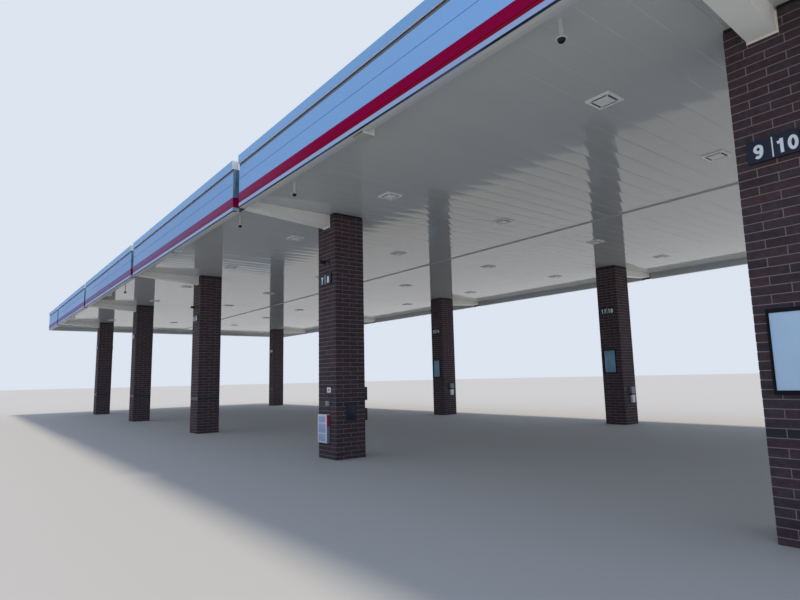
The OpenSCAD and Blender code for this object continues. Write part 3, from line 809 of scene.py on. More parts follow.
@dataclass
class RibbedDeck:
    """Half of the deck: coated pans that sag a little, with a seam between each two.

    Attributes:
        node: The CAD node.
        seed: Seed of the pans' sags.
        pan_w: Nominal width of a pan.
        sheet: Thickness of the sheet.
        fold: Width of the fold on a rib.
        seam_half: Half of the width of the groove at a seam.
        seam_rise: Depth of that groove.
        sag: Least and largest sag of a pan's middle.
        roll: Largest difference of height between a pan's two edges.
        ripple: Height of the long ripples along a pan.
        wave: Least and largest angle that a pan's ripple runs through, in radians.
        across: Places of the points between two seams, as shares of a pan's width.
        rows: Rows of points along a pan.
        sharp: Angle in degrees above which an edge of the sheet stays sharp.
    """

    node: str
    seed: int
    pan_w: float = 0.2032
    sheet: float = 0.0025
    fold: float = 0.012
    seam_half: float = 0.0035
    seam_rise: float = 0.00245
    sag: tuple[float, float] = (0.00030, 0.00095)
    roll: float = 0.0003
    ripple: float = 0.0001
    wave: tuple[float, float] = (6.0, 15.0)
    across: tuple[float, ...] = (0.14, 0.32, 0.5, 0.68, 0.86)
    rows: int = 22
    sharp: float = 12.0

    def under(self, x: np.ndarray, low: float, v: np.ndarray) -> tuple[np.ndarray, np.ndarray]:
        """Work out the underside, row by row.

        With u from 0 to 1 across a pan and v along it, the height over the soffit is
        rest - (sag + ripple * sin(wave * v + phase)) * 4u(1 - u) + roll * (u - 1/2), and at
        u = 0 the point lies in the seam's groove.

        Args:
            x: Places of the seams.
            low: Height of the soffit.
            v: Places of the rows, from 0 to 1.

        Returns:
            The x of each point of the section, and the heights by row and point.
        """
        random = np.random.default_rng(self.seed)
        pans = len(x) - 1
        s = self.seam_half / self.pan_w
        u = np.array([0.0, s, *self.across, 1 - s])
        sag = random.uniform(*self.sag, pans)
        roll = random.uniform(-self.roll, self.roll, pans)
        wave = random.uniform(*self.wave, pans)
        phase = random.uniform(0.0, 2 * math.pi, pans)
        drop = sag + self.ripple * np.sin(wave * v[:, None] + phase)
        rest = self.sag[1] + self.roll / 2 + self.ripple
        height = low + rest - drop[:, :, None] * 4 * u * (1 - u) + roll[None, :, None] * (u - 0.5)
        height[:, :, 0] = low + self.seam_rise
        height[:, 0, 0] = low
        across = (x[:-1, None] + u * np.diff(x)[:, None]).ravel()
        height = height.reshape(len(v), -1)
        return np.append(across, x[-1]), np.column_stack([height, np.full(len(v), low)])

    def over(self, x: np.ndarray, low: float, high: float) -> np.ndarray:
        """Work out the section's upper side: flat sheet, and a folded rib at each seam.

        Args:
            x: Places of the seams.
            low: Height of the soffit.
            high: Height of the top of the ribs.

        Returns:
            Points with x and height, from right to left.
        """
        t, top = low + self.sheet, high - low
        rib = np.array([[self.sheet, 0], [self.sheet, top - 2 * self.sheet],
                        [self.sheet + self.fold, top - 2 * self.sheet],
                        [self.sheet + self.fold, top - self.sheet], [0, top - self.sheet], [0, 0]])
        feet = np.column_stack([x[-2::-1], np.full(len(x) - 1, t)])
        end = np.array([[x[-1], high], [x[-1] - self.sheet, high], [x[-1] - self.sheet, t]])
        return np.concatenate([end, (feet[:, None] + rib).reshape(-1, 2)[:-1]])

    def build(self) -> None:
        """Carry the section along the pans, from the +Y end to the -Y end."""
        low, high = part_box(self.node)
        pans = round((high.x - low.x) / self.pan_w)
        x = np.append(low.x + np.arange(pans) * (high.x - low.x - self.sheet) / pans, high.x)
        v = np.linspace(0.0, 1.0, self.rows)
        across, height = self.under(x, low.z, v)
        over = self.over(x, low.z, high.z)
        sides = len(across) + len(over)
        points = np.empty((self.rows, sides, 3))
        points[:, :, 0] = np.append(across, over[:, 0])
        points[:, :, 1] = (high.y + (low.y - high.y) * v)[:, None]
        points[:, :len(across), 2] = height
        points[:, len(across):, 2] = over[:, 1]
        quads, ends = skin(self.rows, sides)
        below = quads[:, 0] % sides < len(across) - 1
        shape = Shape()
        shape.add(points, [quads[below]], PAN_FACE)
        shape.cover([quads[~below], ends], PAN_BACK)
        shape.make(self.node.replace("deck", "pans"), "white_soffit", [self.node], self.sharp)


# Fittings


class Row(Enum):
    """The two rows of piers."""

    NEAR = "near"
    FAR = "far"


class Towards(Enum):
    """The way that a face of a pier looks, by its turn in degrees from the -Y face."""

    NEAR_SIDE = 0
    RIGHT_END = 90
    FAR_SIDE = 180


def pier_node(row: Row, k: int) -> str:
    """Name the CAD node of the pier that is k piers from the right end of its row."""
    return f"pier_{row.value}_{PIERS_PER_ROW - k}"


@dataclass(frozen=True)
class Face:
    """One face of one pier, with its own frame: x to the right, z up and -y away from it.

    Attributes:
        row: The row of the pier.
        k: Number of the pier from the right.
        towards: The way that the face looks.
    """

    row: Row
    k: int
    towards: Towards = Towards.NEAR_SIDE

    def place(self, points: np.ndarray) -> np.ndarray:
        """Move points from the face's frame to the part's.

        Args:
            points: Points, whose last axis is x, y and z.

        Returns:
            The moved points.
        """
        middle, half = plan_of(pier_node(self.row, self.k))
        a = math.radians(self.towards.value)
        turn = np.array([[math.cos(a), -math.sin(a), 0], [math.sin(a), math.cos(a), 0], [0, 0, 1]])
        return (np.asarray(points, float).reshape(-1, 3) - [0, half, 0]) @ turn.T + [*middle, 0]


def soft_box(shape: Shape, face: Face, middle: Spot, size: Size, finish: Finish, *, radius: float,
             edge: float, stand: float = 0.0, narrow: float = 1.0) -> None:
    """Add a box with rounded corners and a rounded front edge on a face.

    Its rings are the outline, drawn in by edge * (1 - cos t) while the depth gains edge * sin t
    over the last quarter turn. At height share h the width is times narrow + (1 - narrow) h.

    Args:
        shape: The shape that it is added to.
        face: The face that it stands on.
        middle: Its middle, along the face and up.
        size: Width, depth and height.
        finish: Its finish.
        radius: Radius of its corners.
        edge: Radius of its front edge.
        stand: Distance of its back from the face.
        narrow: Width of its foot as a share of the width of its top.
    """
    w, d, h = size
    t = np.linspace(0.0, math.pi / 2, EDGE_POINTS)
    inset = np.append(0.0, edge * (1 - np.cos(t)))
    depth = stand + np.append(0.0, d - edge + edge * np.sin(t))
    flat = np.stack([rounded_ring(w / 2 - i, h / 2 - i, max(radius - i, LEAST_RADIUS)) for i in inset])
    share = flat[..., 1] / h + 0.5
    x = flat[..., 0] * (narrow + (1 - narrow) * share) + middle[0]
    y = np.broadcast_to(-depth[:, None], x.shape)
    points = np.stack([x, y, flat[..., 1] + middle[1]], -1)
    shape.add(face.place(points), skin(len(inset), flat.shape[1]), finish)


def lathe(shape: Shape, profile: Sequence[Spot], finish: Finish, sides: int,
          place: Callable[[np.ndarray], np.ndarray]) -> None:
    """Turn a profile about the z axis: a point is (r cos t, r sin t, z) for t round the circle.

    Args:
        shape: The shape that it is added to.
        profile: Radius and height of each ring, from the bottom up.
        finish: Its finish.
        sides: Points round the circle.
        place: Moves the points to their place.
    """
    r, z = np.array(profile, float).T
    t = np.arange(sides) * 2 * math.pi / sides
    points = np.stack([np.outer(r, np.cos(t)), np.outer(r, np.sin(t)), np.repeat(z[:, None], sides, 1)], -1)
    shape.add(place(points.reshape(-1, 3)), skin(len(r), sides), finish)


# Strokes of the digits in a box DIGIT_W wide and 1 high: points (x, y), and arcs of an ellipse given
# by the centre, the two radii and the first and last angle.
DIGIT_W = 0.6
DIGITS = {
    "0": [[(0.3, 0.5, 0.205, 0.403, 90, 450)]],
    "1": [[(0.36, 0.0), (0.36, 1.0)], [(0.1, 0.745), (0.27, 0.79), (0.4, 0.87)]],
    "2": [[(0.3, 0.69, 0.205, 0.213, 172, -35), (0.3, 0.37), (0.12, 0.12)],
          [(0.03, 0.0975), (0.57, 0.0975)]],
    "3": [[(0.29, 0.725, 0.185, 0.178, 165, -80)], [(0.29, 0.325, 0.208, 0.228, 80, -165)]],
    "4": [[(0.41, 0.95), (0.11, 0.31)], [(0.02, 0.3), (0.6, 0.3)], [(0.42, 0.0), (0.42, 1.0)]],
    "5": [[(0.13, 0.9025), (0.55, 0.9025)], [(0.19, 0.95), (0.13, 0.48)],
          [(0.29, 0.345, 0.208, 0.248, 130, -160)]],
    "6": [[(0.3, 0.32, 0.205, 0.223, 90, 450)], [(0.34, 0.42, 0.245, 0.483, 180, 55)]],
    "7": [[(0.03, 0.9025), (0.56, 0.9025)], [(0.5, 0.86), (0.32, 0.5), (0.25, 0.0)]],
    "8": [[(0.3, 0.73, 0.175, 0.172, 90, 450)], [(0.3, 0.312, 0.205, 0.215, 90, 450)]],
    "9": [[(0.3, 0.68, 0.205, 0.223, 90, 450)], [(0.26, 0.58, 0.245, 0.483, 0, -125)]],
}


@dataclass
class NumberPlates:
    """Cut numerals and an upright bar on each pier's plates.

    Attributes:
        rows: Each row, the lower number on its first pier, and the height of its plates' middles.
        along: Place of the plates along their faces.
        plate_d: Thickness of a plate.
        digit_h: Height of a digit.
        stroke: Width of a digit's stroke, as a share of its height.
        advance: Distance between two digits of a number, as a share of a digit's height.
        arc_step: Angle between two points of an arc, in degrees.
        relief: Thickness of the numerals.
        lift: How much thicker each further stroke of a digit is, as a share, so that no two
            strokes have their fronts in one plane.
        middle: Distance of each number's middle from the bar.
        low_by: How far the numbers' middles lie under the plates' middles.
        bar: Width and height of the bar.
    """

    rows: tuple[tuple[Row, int, float], ...] = ((Row.NEAR, 9, 2.112), (Row.FAR, 19, 2.070))
    along: float = -0.008
    plate_d: float = 0.018
    digit_h: float = 0.080
    stroke: float = 0.205
    advance: float = 0.72
    arc_step: float = 15.0
    relief: float = 0.0016
    lift: float = 0.15
    middle: float = 0.069
    low_by: float = 0.006
    bar: tuple[float, float] = (0.0065, 0.113)

    def centre_line(self, path: Sequence[tuple]) -> np.ndarray:
        """Work out the points of a stroke: an arc runs through c + r (cos t, sin t).

        Args:
            path: Points (x, y) and arcs (cx, cy, rx, ry, first angle, last angle), for a digit 1 high.

        Returns:
            Points with two coordinates.
        """
        parts = []
        for item in path:
            if len(item) == 2:
                parts.append(np.array([item], float))
                continue
            cx, cy, rx, ry, first, last = item
            t = np.radians(np.linspace(first, last, max(3, round(abs(last - first) / self.arc_step))))
            parts.append(np.stack([cx + rx * np.cos(t), cy + ry * np.sin(t)], 1))
        return np.concatenate(parts)

    def ribbon(self, shape: Shape, path: Sequence[tuple], relief: float,
               move: Callable[[np.ndarray], np.ndarray]) -> None:
        """Add one stroke of a digit: a flat bar of constant width along its centre line.

        At each point the bar reaches half a stroke to both sides along n / (n . m), where m is the
        normal of the piece before the point and n the middle direction of the two pieces' normals.

        Args:
            shape: The shape that it is added to.
            path: Points and arcs of the centre line.
            relief: Thickness of the stroke.
            move: Moves the points (x, -depth, y) to their place.
        """
        line = self.centre_line(path)
        run = np.diff(line, axis=0)
        run /= np.linalg.norm(run, axis=1)[:, None]
        normal = np.stack([-run[:, 1], run[:, 0]], 1)
        before = np.concatenate([normal[:1], normal])
        after = np.concatenate([normal, normal[-1:]])
        if np.allclose(line[0], line[-1], atol=1e-6):
            before[0], after[-1] = normal[-1], normal[0]
        both = before + after
        reach = both / np.sum(both * before, axis=1)[:, None] * self.stroke / 2
        edges = np.stack([line + reach, line - reach, line - reach, line + reach], 1) * self.digit_h
        depth = np.array([0.0, 0.0, relief, relief])[None, :, None]
        depth = np.broadcast_to(depth, edges.shape[:2] + (1,))
        points = np.concatenate([edges[..., :1], -depth, edges[..., 1:]], -1)
        shape.add(move(points.reshape(-1, 3)), skin(len(line), 4), NUMERAL)

    def write(self, shape: Shape, number: int, face: Face, x: float, z: float) -> None:
        """Cut a number in front of a plate.

        Args:
            shape: The shape that it is added to.
            number: The number.
            face: The face that carries the plate.
            x: Place of the number's middle along the face.
            z: Height of the number's middle.
        """
        digits = str(number)
        for place, digit in enumerate(digits):
            left = x + ((place - (len(digits) - 1) / 2) * self.advance - DIGIT_W / 2) * self.digit_h
            corner = np.array([left, -self.plate_d, z - self.digit_h / 2])
            for layer, path in enumerate(DIGITS[digit]):
                self.ribbon(shape, path, self.relief * (1 + self.lift * layer),
                            lambda points, corner=corner: face.place(points + corner))

    def build(self) -> None:
        """Cut the numbers for both faces of every pier, two lower from each pier to the next."""
        shape = Shape()
        bar_w, bar_h = self.bar
        for row, first, z in self.rows:
            for k in range(PIERS_PER_ROW):
                for towards in (Towards.NEAR_SIDE, Towards.FAR_SIDE):
                    face = Face(row, k, towards)
                    lower = first - 2 * k
                    self.write(shape, lower, face, self.along - self.middle, z - self.low_by)
                    self.write(shape, lower + 1, face, self.along + self.middle, z - self.low_by)
                    soft_box(shape, face, (self.along, z), (bar_w, self.relief, bar_h), NUMERAL,
                             radius=0.5 * MM, edge=0.3 * MM, stand=self.plate_d)
        shape.make("plate_numerals", "fitting_white")


@dataclass
class PosterPanels:
    """Plain panels in the three poster cases.

    Attributes:
        cases: Face, middle along the face and up, width and height, and card of each case.
        rim: Widths of the rims at the sides, and above and below.
        back: Distance of the panel's face from the pier.
        bead: Width of the bead that holds the panel.
        sheet: Thickness of the panel, and its play between the rims.
    """

    cases: tuple[tuple[Face, Spot, tuple[float, float], Finish], ...] = (
        (Face(Row.NEAR, 0), (0.0, 1.003), (0.269, 0.456), CARD),
        (Face(Row.FAR, 1), (-0.028, 1.135), (0.240, 0.442), DEEP_CARD),
        (Face(Row.FAR, 2), (-0.028, 1.135), (0.240, 0.442), DEEP_CARD),
    )
    rim: tuple[float, float] = (0.010, 0.019)
    back: float = 0.0078
    bead: float = 0.003
    sheet: float = 0.001

    def build(self) -> None:
        """Set a panel in each case, and a bead round it."""
        shape = Shape()
        b, t = self.bead, self.sheet
        for face, (x, z), size, card in self.cases:
            w, h = (whole - 2 * rim for whole, rim in zip(size, self.rim))
            soft_box(shape, face, (x, z), (w - t, t, h - t), card, radius=MM, edge=0.5 * MM,
                     stand=self.back - t)
            for way in (-1, 1):
                soft_box(shape, face, (x + way * (w - b) / 2, z), (b, b, h - t), ANODISED, radius=MM,
                         edge=MM, stand=self.back)
                soft_box(shape, face, (x, z + way * (h - b) / 2), (w - t, b, b), ANODISED, radius=MM,
                         edge=MM, stand=self.back)
        shape.make("poster_panels", "black_plate", sharp=30)


@dataclass
class NoticeCabinet:
    """The notice cabinet: a body, a door with three printed panels, and films on its right side.

    Attributes:
        face: The face that it stands on.
        middle: Its middle, along the face and up.
        size: Width, depth and height.
        step: How far the body stays back on the right and in front, for the films and the door.
        door_rim: Width of the cabinet's edge round the door.
        door_t: Thickness of the door.
        panel_rim: Distance of the panels from the cabinet's sides.
        panel_t: Thickness of the panels, which stand out of the door by half of it.
        panels: Foot and top of each panel, as shares of the height from the middle.
        film_t: Thickness of the films.
        film_rim: How much the films leave free above, below and of the depth.
        red_h: Height of the red film, from the top down; the rest is grey.
    """

    face: Face = Face(Row.NEAR, 1)
    middle: Spot = (-0.044, 0.3455)
    size: Size = (0.209, 0.046, 0.325)
    step: float = 0.002
    door_rim: float = 0.009
    door_t: float = 0.003
    panel_rim: float = 0.025
    panel_t: float = 0.001
    panels: tuple[tuple[float, float], ...] = ((-0.44, -0.18), (-0.14, 0.18), (0.22, 0.44))
    film_t: float = 0.003
    film_rim: float = 0.006
    red_h: float = 0.130

    def build(self) -> None:
        """Build the cabinet from its body, door, panels and films."""
        (w, d, h), (x, z) = self.size, self.middle
        body_x = x - self.step / 2
        shape = Shape()
        soft_box(shape, self.face, (body_x, z), (w - self.step, d - self.step, h), WHITE_ABS,
                 radius=6 * MM, edge=3 * MM)
        soft_box(shape, self.face, (body_x, z),
                 (w - 2 * self.door_rim, self.door_t, h - 2 * self.door_rim), WHITE_ABS,
                 radius=5 * MM, edge=MM, stand=d - self.panel_t / 2 - self.door_t)
        for low, high in self.panels:
            soft_box(shape, self.face, (body_x, z + (low + high) / 2 * h),
                     (w - 2 * self.panel_rim, self.panel_t, (high - low) * h), BLUE_PRINT,
                     radius=2 * MM, edge=0.3 * MM, stand=d - self.panel_t)
        top, foot = z + h / 2 - self.film_rim, z - h / 2 + self.film_rim
        joint = top - self.red_h
        for low, high, film in ((joint, top, RED_FILM), (foot, joint, GREY_ABS)):
            soft_box(shape, self.face, (x + (w - self.film_t) / 2, (high + low) / 2),
                     (self.film_t, d - self.film_rim, high - low), film,
                     radius=0.5 * MM, edge=0.5 * MM, stand=self.step)
        shape.make("notice_cabinet", "fitting_white", ["pier_cabinets"], sharp=35)


@dataclass(frozen=True)
class Block:
    """One block of a moulded box, in shares of the box's own width, depth and height.

    Attributes:
        rise: How far its middle lies over the box's middle.
        size: Width, depth and height.
        finish: Its finish.
        radius: Radius of its corners, in metres.
        edge: Radius of its front edge, in metres.
        narrow: Width of its foot as a share of the width of its top.
    """

    rise: float
    size: Size
    finish: Finish
    radius: float
    edge: float
    narrow: float = 1.0


@dataclass
class MouldedBoxes:
    """Boxes of one kind on the piers, each stacked from blocks.

    Attributes:
        name: Name of the piece.
        slot: The record's material slot.
        size: Width, depth and height of a box.
        places: Face and middle of each box.
        blocks: The blocks of a box, from the top down.
    """

    name: str
    slot: str
    size: Size
    places: tuple[tuple[Face, Spot], ...]
    blocks: tuple[Block, ...]

    def build(self) -> None:
        """Stack the blocks at each place."""
        shape = Shape()
        for face, (x, z) in self.places:
            for block in self.blocks:
                w, d, h = (share * whole for share, whole in zip(block.size, self.size))
                soft_box(shape, face, (x, z + block.rise * self.size[2]), (w, d, h), block.finish,
                         radius=block.radius, edge=block.edge, narrow=block.narrow)
        shape.make(self.name, self.slot, ["pier_cabinets"], sharp=35)


# A towel box has a grey lid, a dark band and a white body that narrows downwards.
TOWEL_BOXES = MouldedBoxes(
    "towel_boxes", "fitting_white", (0.120, 0.045, 0.285),
    ((Face(Row.FAR, 1, Towards.RIGHT_END), (0.045, 0.5265)),
     (Face(Row.FAR, 2, Towards.RIGHT_END), (0.045, 0.6195))),
    (Block(0.29, (1.0, 1.0, 0.42), GREY_ABS, 0.008, 0.008),
     Block(0.03, (0.9, 0.8, 0.12), BLACK_ABS, 0.002, 0.002),
     Block(-0.26, (0.94, 0.92, 0.48), WHITE_ABS, 0.006, 0.008, narrow=0.7)))
# The slim box has a head and a foot, and a narrow back between them. Its black is painted shade: the
# unit is white like the towel boxes, in deep shade on this face.
SLIM_BOX = MouldedBoxes(
    "slim_box", "dark_steel", (0.060, 0.040, 0.390),
    ((Face(Row.NEAR, 1, Towards.FAR_SIDE), (-0.165, 0.620)),),
    (Block(0.3, (1.0, 1.0, 0.4), BLACK_ABS, 0.008, 0.006),
     Block(-0.14, (0.5, 0.4, 0.5), BLACK_ABS, 0.004, 0.004),
     Block(-0.32, (1.0, 1.0, 0.36), BLACK_ABS, 0.008, 0.006)))


@dataclass
class SmallPlates:
    """The blank label, the grey box under it and the dark plate round the corner.

    Attributes:
        label: Width, depth and height of the label.
        label_at: Its middle.
        patch: Width, depth and height of the grey patch on the label.
        meter: Width, depth and height of the grey box.
        meter_at: Its middle.
        blank: Width, depth and height of the dark plate.
        blank_at: Its middle.
    """

    label: Size = (0.085, 0.003, 0.062)
    label_at: Spot = (0.040, 0.790)
    patch: Size = (0.03825, 0.001, 0.0217)
    meter: Size = (0.075, 0.024, 0.058)
    meter_at: Spot = (0.030, 0.636)
    blank: Size = (0.140, 0.005, 0.170)
    blank_at: Spot = (0.003, 0.525)

    def build(self) -> None:
        """Build all of them."""
        front, side = Face(Row.NEAR, 1), Face(Row.NEAR, 1, Towards.RIGHT_END)
        shape = Shape()
        soft_box(shape, front, self.label_at, self.label, WHITE_ABS, radius=3 * MM, edge=MM)
        soft_box(shape, front, self.label_at, self.patch, GREY_ABS, radius=2 * MM, edge=0.5 * MM,
                 stand=self.label[1])
        soft_box(shape, front, self.meter_at, self.meter, GREY_ABS, radius=5 * MM, edge=4 * MM)
        soft_box(shape, side, self.blank_at, self.blank, PLATE, radius=3 * MM, edge=MM)
        shape.make("label_and_plates", "fitting_white", ["pier_cabinets"], sharp=35)


@dataclass
class BulletCameras:
    """Small cameras on the piers: a foot on the wall, an arm from its top and a hooded barrel.

    Attributes:
        places: Face, and place of the underside of each camera's foot.
        foot: Width, depth and height of the foot.
        arm_w: Width and height of the arm.
        arm_back: How far the arm ends behind the barrel's front.
        reach: Distance of the barrel's front from the face.
        barrel_r: Radius of the barrel.
        barrel_l: Length of the barrel.
        hang: How far the barrel's top lies under the arm's middle, as a share of the arm's height.
        back: Radius of the barrel's back as a share of its own, and length of the taper there.
        groove: Radius in the groove round the barrel, as a share, and its distance from the front.
        front: Radius of the barrel's front as a share of its own, and length of the taper there.
        sides: Points round the barrel.
    """

    places: tuple[tuple[Face, Spot], ...] = ((Face(Row.NEAR, 1), (0.050, 2.276)),
                                             (Face(Row.NEAR, 2), (0.050, 2.276)))
    foot: Size = (0.030, 0.010, 0.058)
    arm_w: float = 0.014
    arm_back: float = 0.003
    reach: float = 0.125
    barrel_r: float = 0.0165
    barrel_l: float = 0.078
    hang: float = 0.3
    back: tuple[float, float] = (0.75, 0.004)
    groove: tuple[float, float] = (0.9, 0.011)
    front: tuple[float, float] = (0.8, 0.001)
    sides: int = 20

    def profile(self) -> list[Spot]:
        """Give the radius of the barrel and the distance from the face, from the back to the front.

        Returns:
            The rings, with the tapered back, the groove and the rounded front.
        """
        r, front = self.barrel_r, self.reach
        back, groove = front - self.barrel_l, front - self.groove[1]
        return [(self.back[0] * r, back), (r, back + self.back[1]),
                (r, groove - MM), (self.groove[0] * r, groove), (r, groove + MM),
                (r, front - self.front[1]), (self.front[0] * r, front)]

    def build(self) -> None:
        """Build each camera, with its barrel turned from upright to straight away from the face."""
        away = np.array([[1.0, 0, 0], [0, 0, -1.0], [0, 1.0, 0]])
        shape = Shape()
        for face, (x, z) in self.places:
            arm_z = z + self.foot[2] - self.arm_w / 2
            axis = np.array([x, 0.0, arm_z - self.hang * self.arm_w - self.barrel_r])
            soft_box(shape, face, (x, z + self.foot[2] / 2), self.foot, BLACK_ABS,
                     radius=6 * MM, edge=3 * MM)
            soft_box(shape, face, (x, arm_z), (self.arm_w, self.reach - self.arm_back, self.arm_w),
                     BLACK_ABS, radius=4 * MM, edge=3 * MM)
            lathe(shape, self.profile(), BLACK_ABS, self.sides,
                  lambda points: face.place(points @ away.T + axis))
        shape.make("bullet_cameras", "dark_dome", ["pier_cabinets"], sharp=35)


@dataclass
class DomeCameras:
    """Pendant dome cameras along the near side.

    Attributes:
        places: Pier from the right, and distance along from that pier's middle.
        drop: Length of the stem.
        stem_r: Radius of the stem.
        fillet: Radius and height of the fillet at the stem's foot.
        rose: Radius and height of the rose at the soffit.
        dome_r: Radius of the dome.
        dome_rings: Number of the dome's rings.
        tip: Angle of its lowest ring from straight down, in degrees.
        rim: Radius of the cap's rim as a share of the dome's.
        lip: Width and height of that rim.
        cap_h: Height of the cap.
        shoulder: Points of the cap's shoulder: radius as a share of the rim's, and depth under the
            stem's foot as a share of the cap's height.
        sides: Points round a camera.
    """

    places: tuple[tuple[int, float], ...] = ((0, -0.701), (1, 0.862), (1, -0.553), (2, -1.780))
    drop: float = 0.105
    stem_r: float = 0.0105
    fillet: tuple[float, float] = (0.012, 0.004)
    rose: tuple[float, float] = (0.014, 0.003)
    dome_r: float = 0.0245
    dome_rings: int = 9
    tip: float = 4.0
    rim: float = 1.42
    lip: float = 0.003
    cap_h: float = 0.017
    shoulder: tuple[tuple[float, float], ...] = ((0.75, 0.3), (0.45, 0.0))
    sides: int = 32

    def hood(self) -> list[Spot]:
        """Give the radius and height, from the soffit, of the cap, the stem and the rose.

        Returns:
            The rings, from the bottom up.
        """
        rim, foot = self.rim * self.dome_r, -self.drop
        low = foot - self.cap_h
        (fillet_r, fillet_h), (rose_r, rose_h) = self.fillet, self.rose
        return [(rim - self.lip, low), (rim, low), (rim, low + self.lip),
                *((share * rim, foot - depth * self.cap_h) for share, depth in self.shoulder),
                (fillet_r, foot + fillet_h), (self.stem_r, foot + 2 * fillet_h),
                (self.stem_r, -rose_h - MM), (rose_r, -rose_h), (rose_r, 0.0)]

    def dome(self) -> list[Spot]:
        """Give the rings of the dome, a half sphere: radius r sin t and height low - r cos t.

        Returns:
            The rings, from the bottom up, with the last one inside the cap.
        """
        r, low = self.dome_r, -self.drop - self.cap_h
        t = np.radians(np.linspace(self.tip, 90, self.dome_rings))
        return [*zip(r * np.sin(t), low - r * np.cos(t)), (r, low + MM)]

    def build(self) -> None:
        """Turn each camera's hood and dome about its axis."""
        low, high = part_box("dome_cameras")
        hoods, domes = Shape(), Shape()
        for k, along in self.places:
            x = plan_of(pier_node(Row.NEAR, k))[0][0] + along
            top = np.array([x, (low.y + high.y) / 2, high.z])
            for shape, profile, finish in ((hoods, self.hood(), POWDER), (domes, self.dome(), SMOKED)):
                lathe(shape, profile, finish, self.sides, lambda points: points + top)
        hoods.make("camera_hoods", "fitting_white", ["dome_cameras"], sharp=30)
        domes.make("camera_glass_domes", "dark_dome", ["camera_domes"], sharp=40)


def widen_collars(set_back: float = 0.004) -> None:
    """Bring the closures on the pier heads forward, nearly to the face of the brickwork.

    Args:
        set_back: How far they stay behind the face.
    """
    points, triangles = merged_node("pier_collars")
    plans = [plan_of(f"pier_{row.value}_{number}") for row in Row
             for number in range(1, PIERS_PER_ROW + 1)]
    middles, half = np.array([middle for middle, _ in plans]), plans[0][1]
    middle = middles[np.linalg.norm(points[:, None, :2] - middles, axis=2).argmin(1)]
    flat = points[:, :2] - middle
    edge = np.abs(flat) > np.abs(flat).max() - IN_PLANE
    flat = np.where(edge, np.sign(flat) * (half - set_back), flat)
    shape = Shape()
    shape.add(np.column_stack([flat + middle, points[:, 2]]), [triangles], ENAMEL)
    shape.make("pier_head_closures", "dark_steel", ["pier_collars"])


# Finishes of the CAD nodes that stay


# The finish of each CAD node, and of the fascia's nodes by the first part of their names
NODE_FINISHES = {
    "gutter": PAN_FACE, "outrigger_beams": BEAM_COAT, "edge_boxes": EDGE_BOX, "main_beams": PRIMER,
    "purlins": PRIMER, "edge_channels": PRIMER, "fascia_studs": PRIMER, "steel_posts": ENAMEL,
    "beam_seals": SEALANT, "joint_backs": SLOT_BACK, "light_fittings": LAMP_CAST, "light_lenses": LENS,
    "number_plates": PLATE, "poster_frames": ANODISED}
FASCIA_FINISHES = {"closure": TRIM, "red_band": CRIMSON, "silver_panels": COMPOSITE, "coping": COPING}
# Shares of a normal along an axis: over the first the face looks along that axis, and under the
# second it lies along it.
LOOKS_ALONG, LIES_ALONG = 0.9, 0.1
# Rise of a normal under which the face looks down
LOOKS_DOWN = -0.5


def dress(node: str, finish: Finish) -> None:
    """Give a CAD node a finish.

    Args:
        node: Name of the node.
        finish: The finish.
    """
    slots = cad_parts[node].data.materials
    slots.clear()
    slots.append(finish.material())
    LOG.info("%s: %s", node, finish.name)


def dress_some(node: str, finish: Finish, choose: Callable[[np.ndarray, np.ndarray], np.ndarray]) -> None:
    """Give some faces of a dressed CAD node a finish of their own.

    Args:
        node: Name of the node.
        finish: The finish.
        choose: Tells, from the faces' middles and normals, which faces get it.
    """
    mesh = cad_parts[node].data
    middle = np.empty(len(mesh.polygons) * 3)
    normal = np.empty(len(mesh.polygons) * 3)
    mesh.polygons.foreach_get("center", middle)
    mesh.polygons.foreach_get("normal", normal)
    chosen = choose(middle.reshape(-1, 3), normal.reshape(-1, 3))
    mesh.materials.append(finish.material())
    mesh.polygons.foreach_set("material_index", chosen.astype(np.int32))
    mesh.update()


def dress_lamp_slots(reach: float = 0.0785, lift: float = 0.0025) -> None:
    """Paint the upright walls of the lamps' slots mid grey, as painted shade in the slots.

    A face is such a wall if its normal is level, its middle lies over the plates' lower part and
    under the deck, and it is within reach of the middle of the nearest lens, along X and along Y.

    Args:
        reach: Distance of the slots' outer walls from the middle of a lamp.
        lift: Height of the plates' lower part, which hangs under the rings.
    """
    # To 0.1 mm, so that each edge that the lenses of one row share counts once
    corners = merged_node("light_lenses")[0].round(4)
    x, y = (np.unique(corners[:, axis]).reshape(-1, 2).mean(1) for axis in (0, 1))
    slot_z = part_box("light_fittings")[0].z + lift
    deck_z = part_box("deck_near")[0].z

    def choose(middle: np.ndarray, normal: np.ndarray) -> np.ndarray:
        """Choose the upright walls near a lens."""
        near = np.maximum(np.abs(middle[:, :1] - x).min(1), np.abs(middle[:, 1:2] - y).min(1))
        return ((np.abs(normal[:, 2]) < LIES_ALONG) & (middle[:, 2] > slot_z) & (middle[:, 2] < deck_z)
                & (near < reach))

    dress_some("light_fittings", SLOT_SHADE, choose)


def dress_returns(corner: float = 0.3) -> None:
    """Paint the panels' ends in the slots with painted shade and highlights, and the copings' ends and
    undersides with painted light.

    Args:
        corner: Distance from the fascia's ends within which a face belongs to the corner instead.
    """
    half = CAD_BOX[1][0] - corner

    def in_slot(middle: np.ndarray, normal: np.ndarray) -> np.ndarray:
        """Choose the faces that look along the fascia and lie away from its corners."""
        return (np.abs(normal[:, 0]) > LOOKS_ALONG) & (np.abs(middle[:, 0]) < half)

    for row in Row:
        dress_some(f"silver_panels_{row.value}", SHADED_RETURN, in_slot)
    for side in SIDES:
        dress_some(f"coping_{side}", LIT_COPING_END,
                   lambda middle, normal: in_slot(middle, normal) | (normal[:, 2] < LOOKS_DOWN))


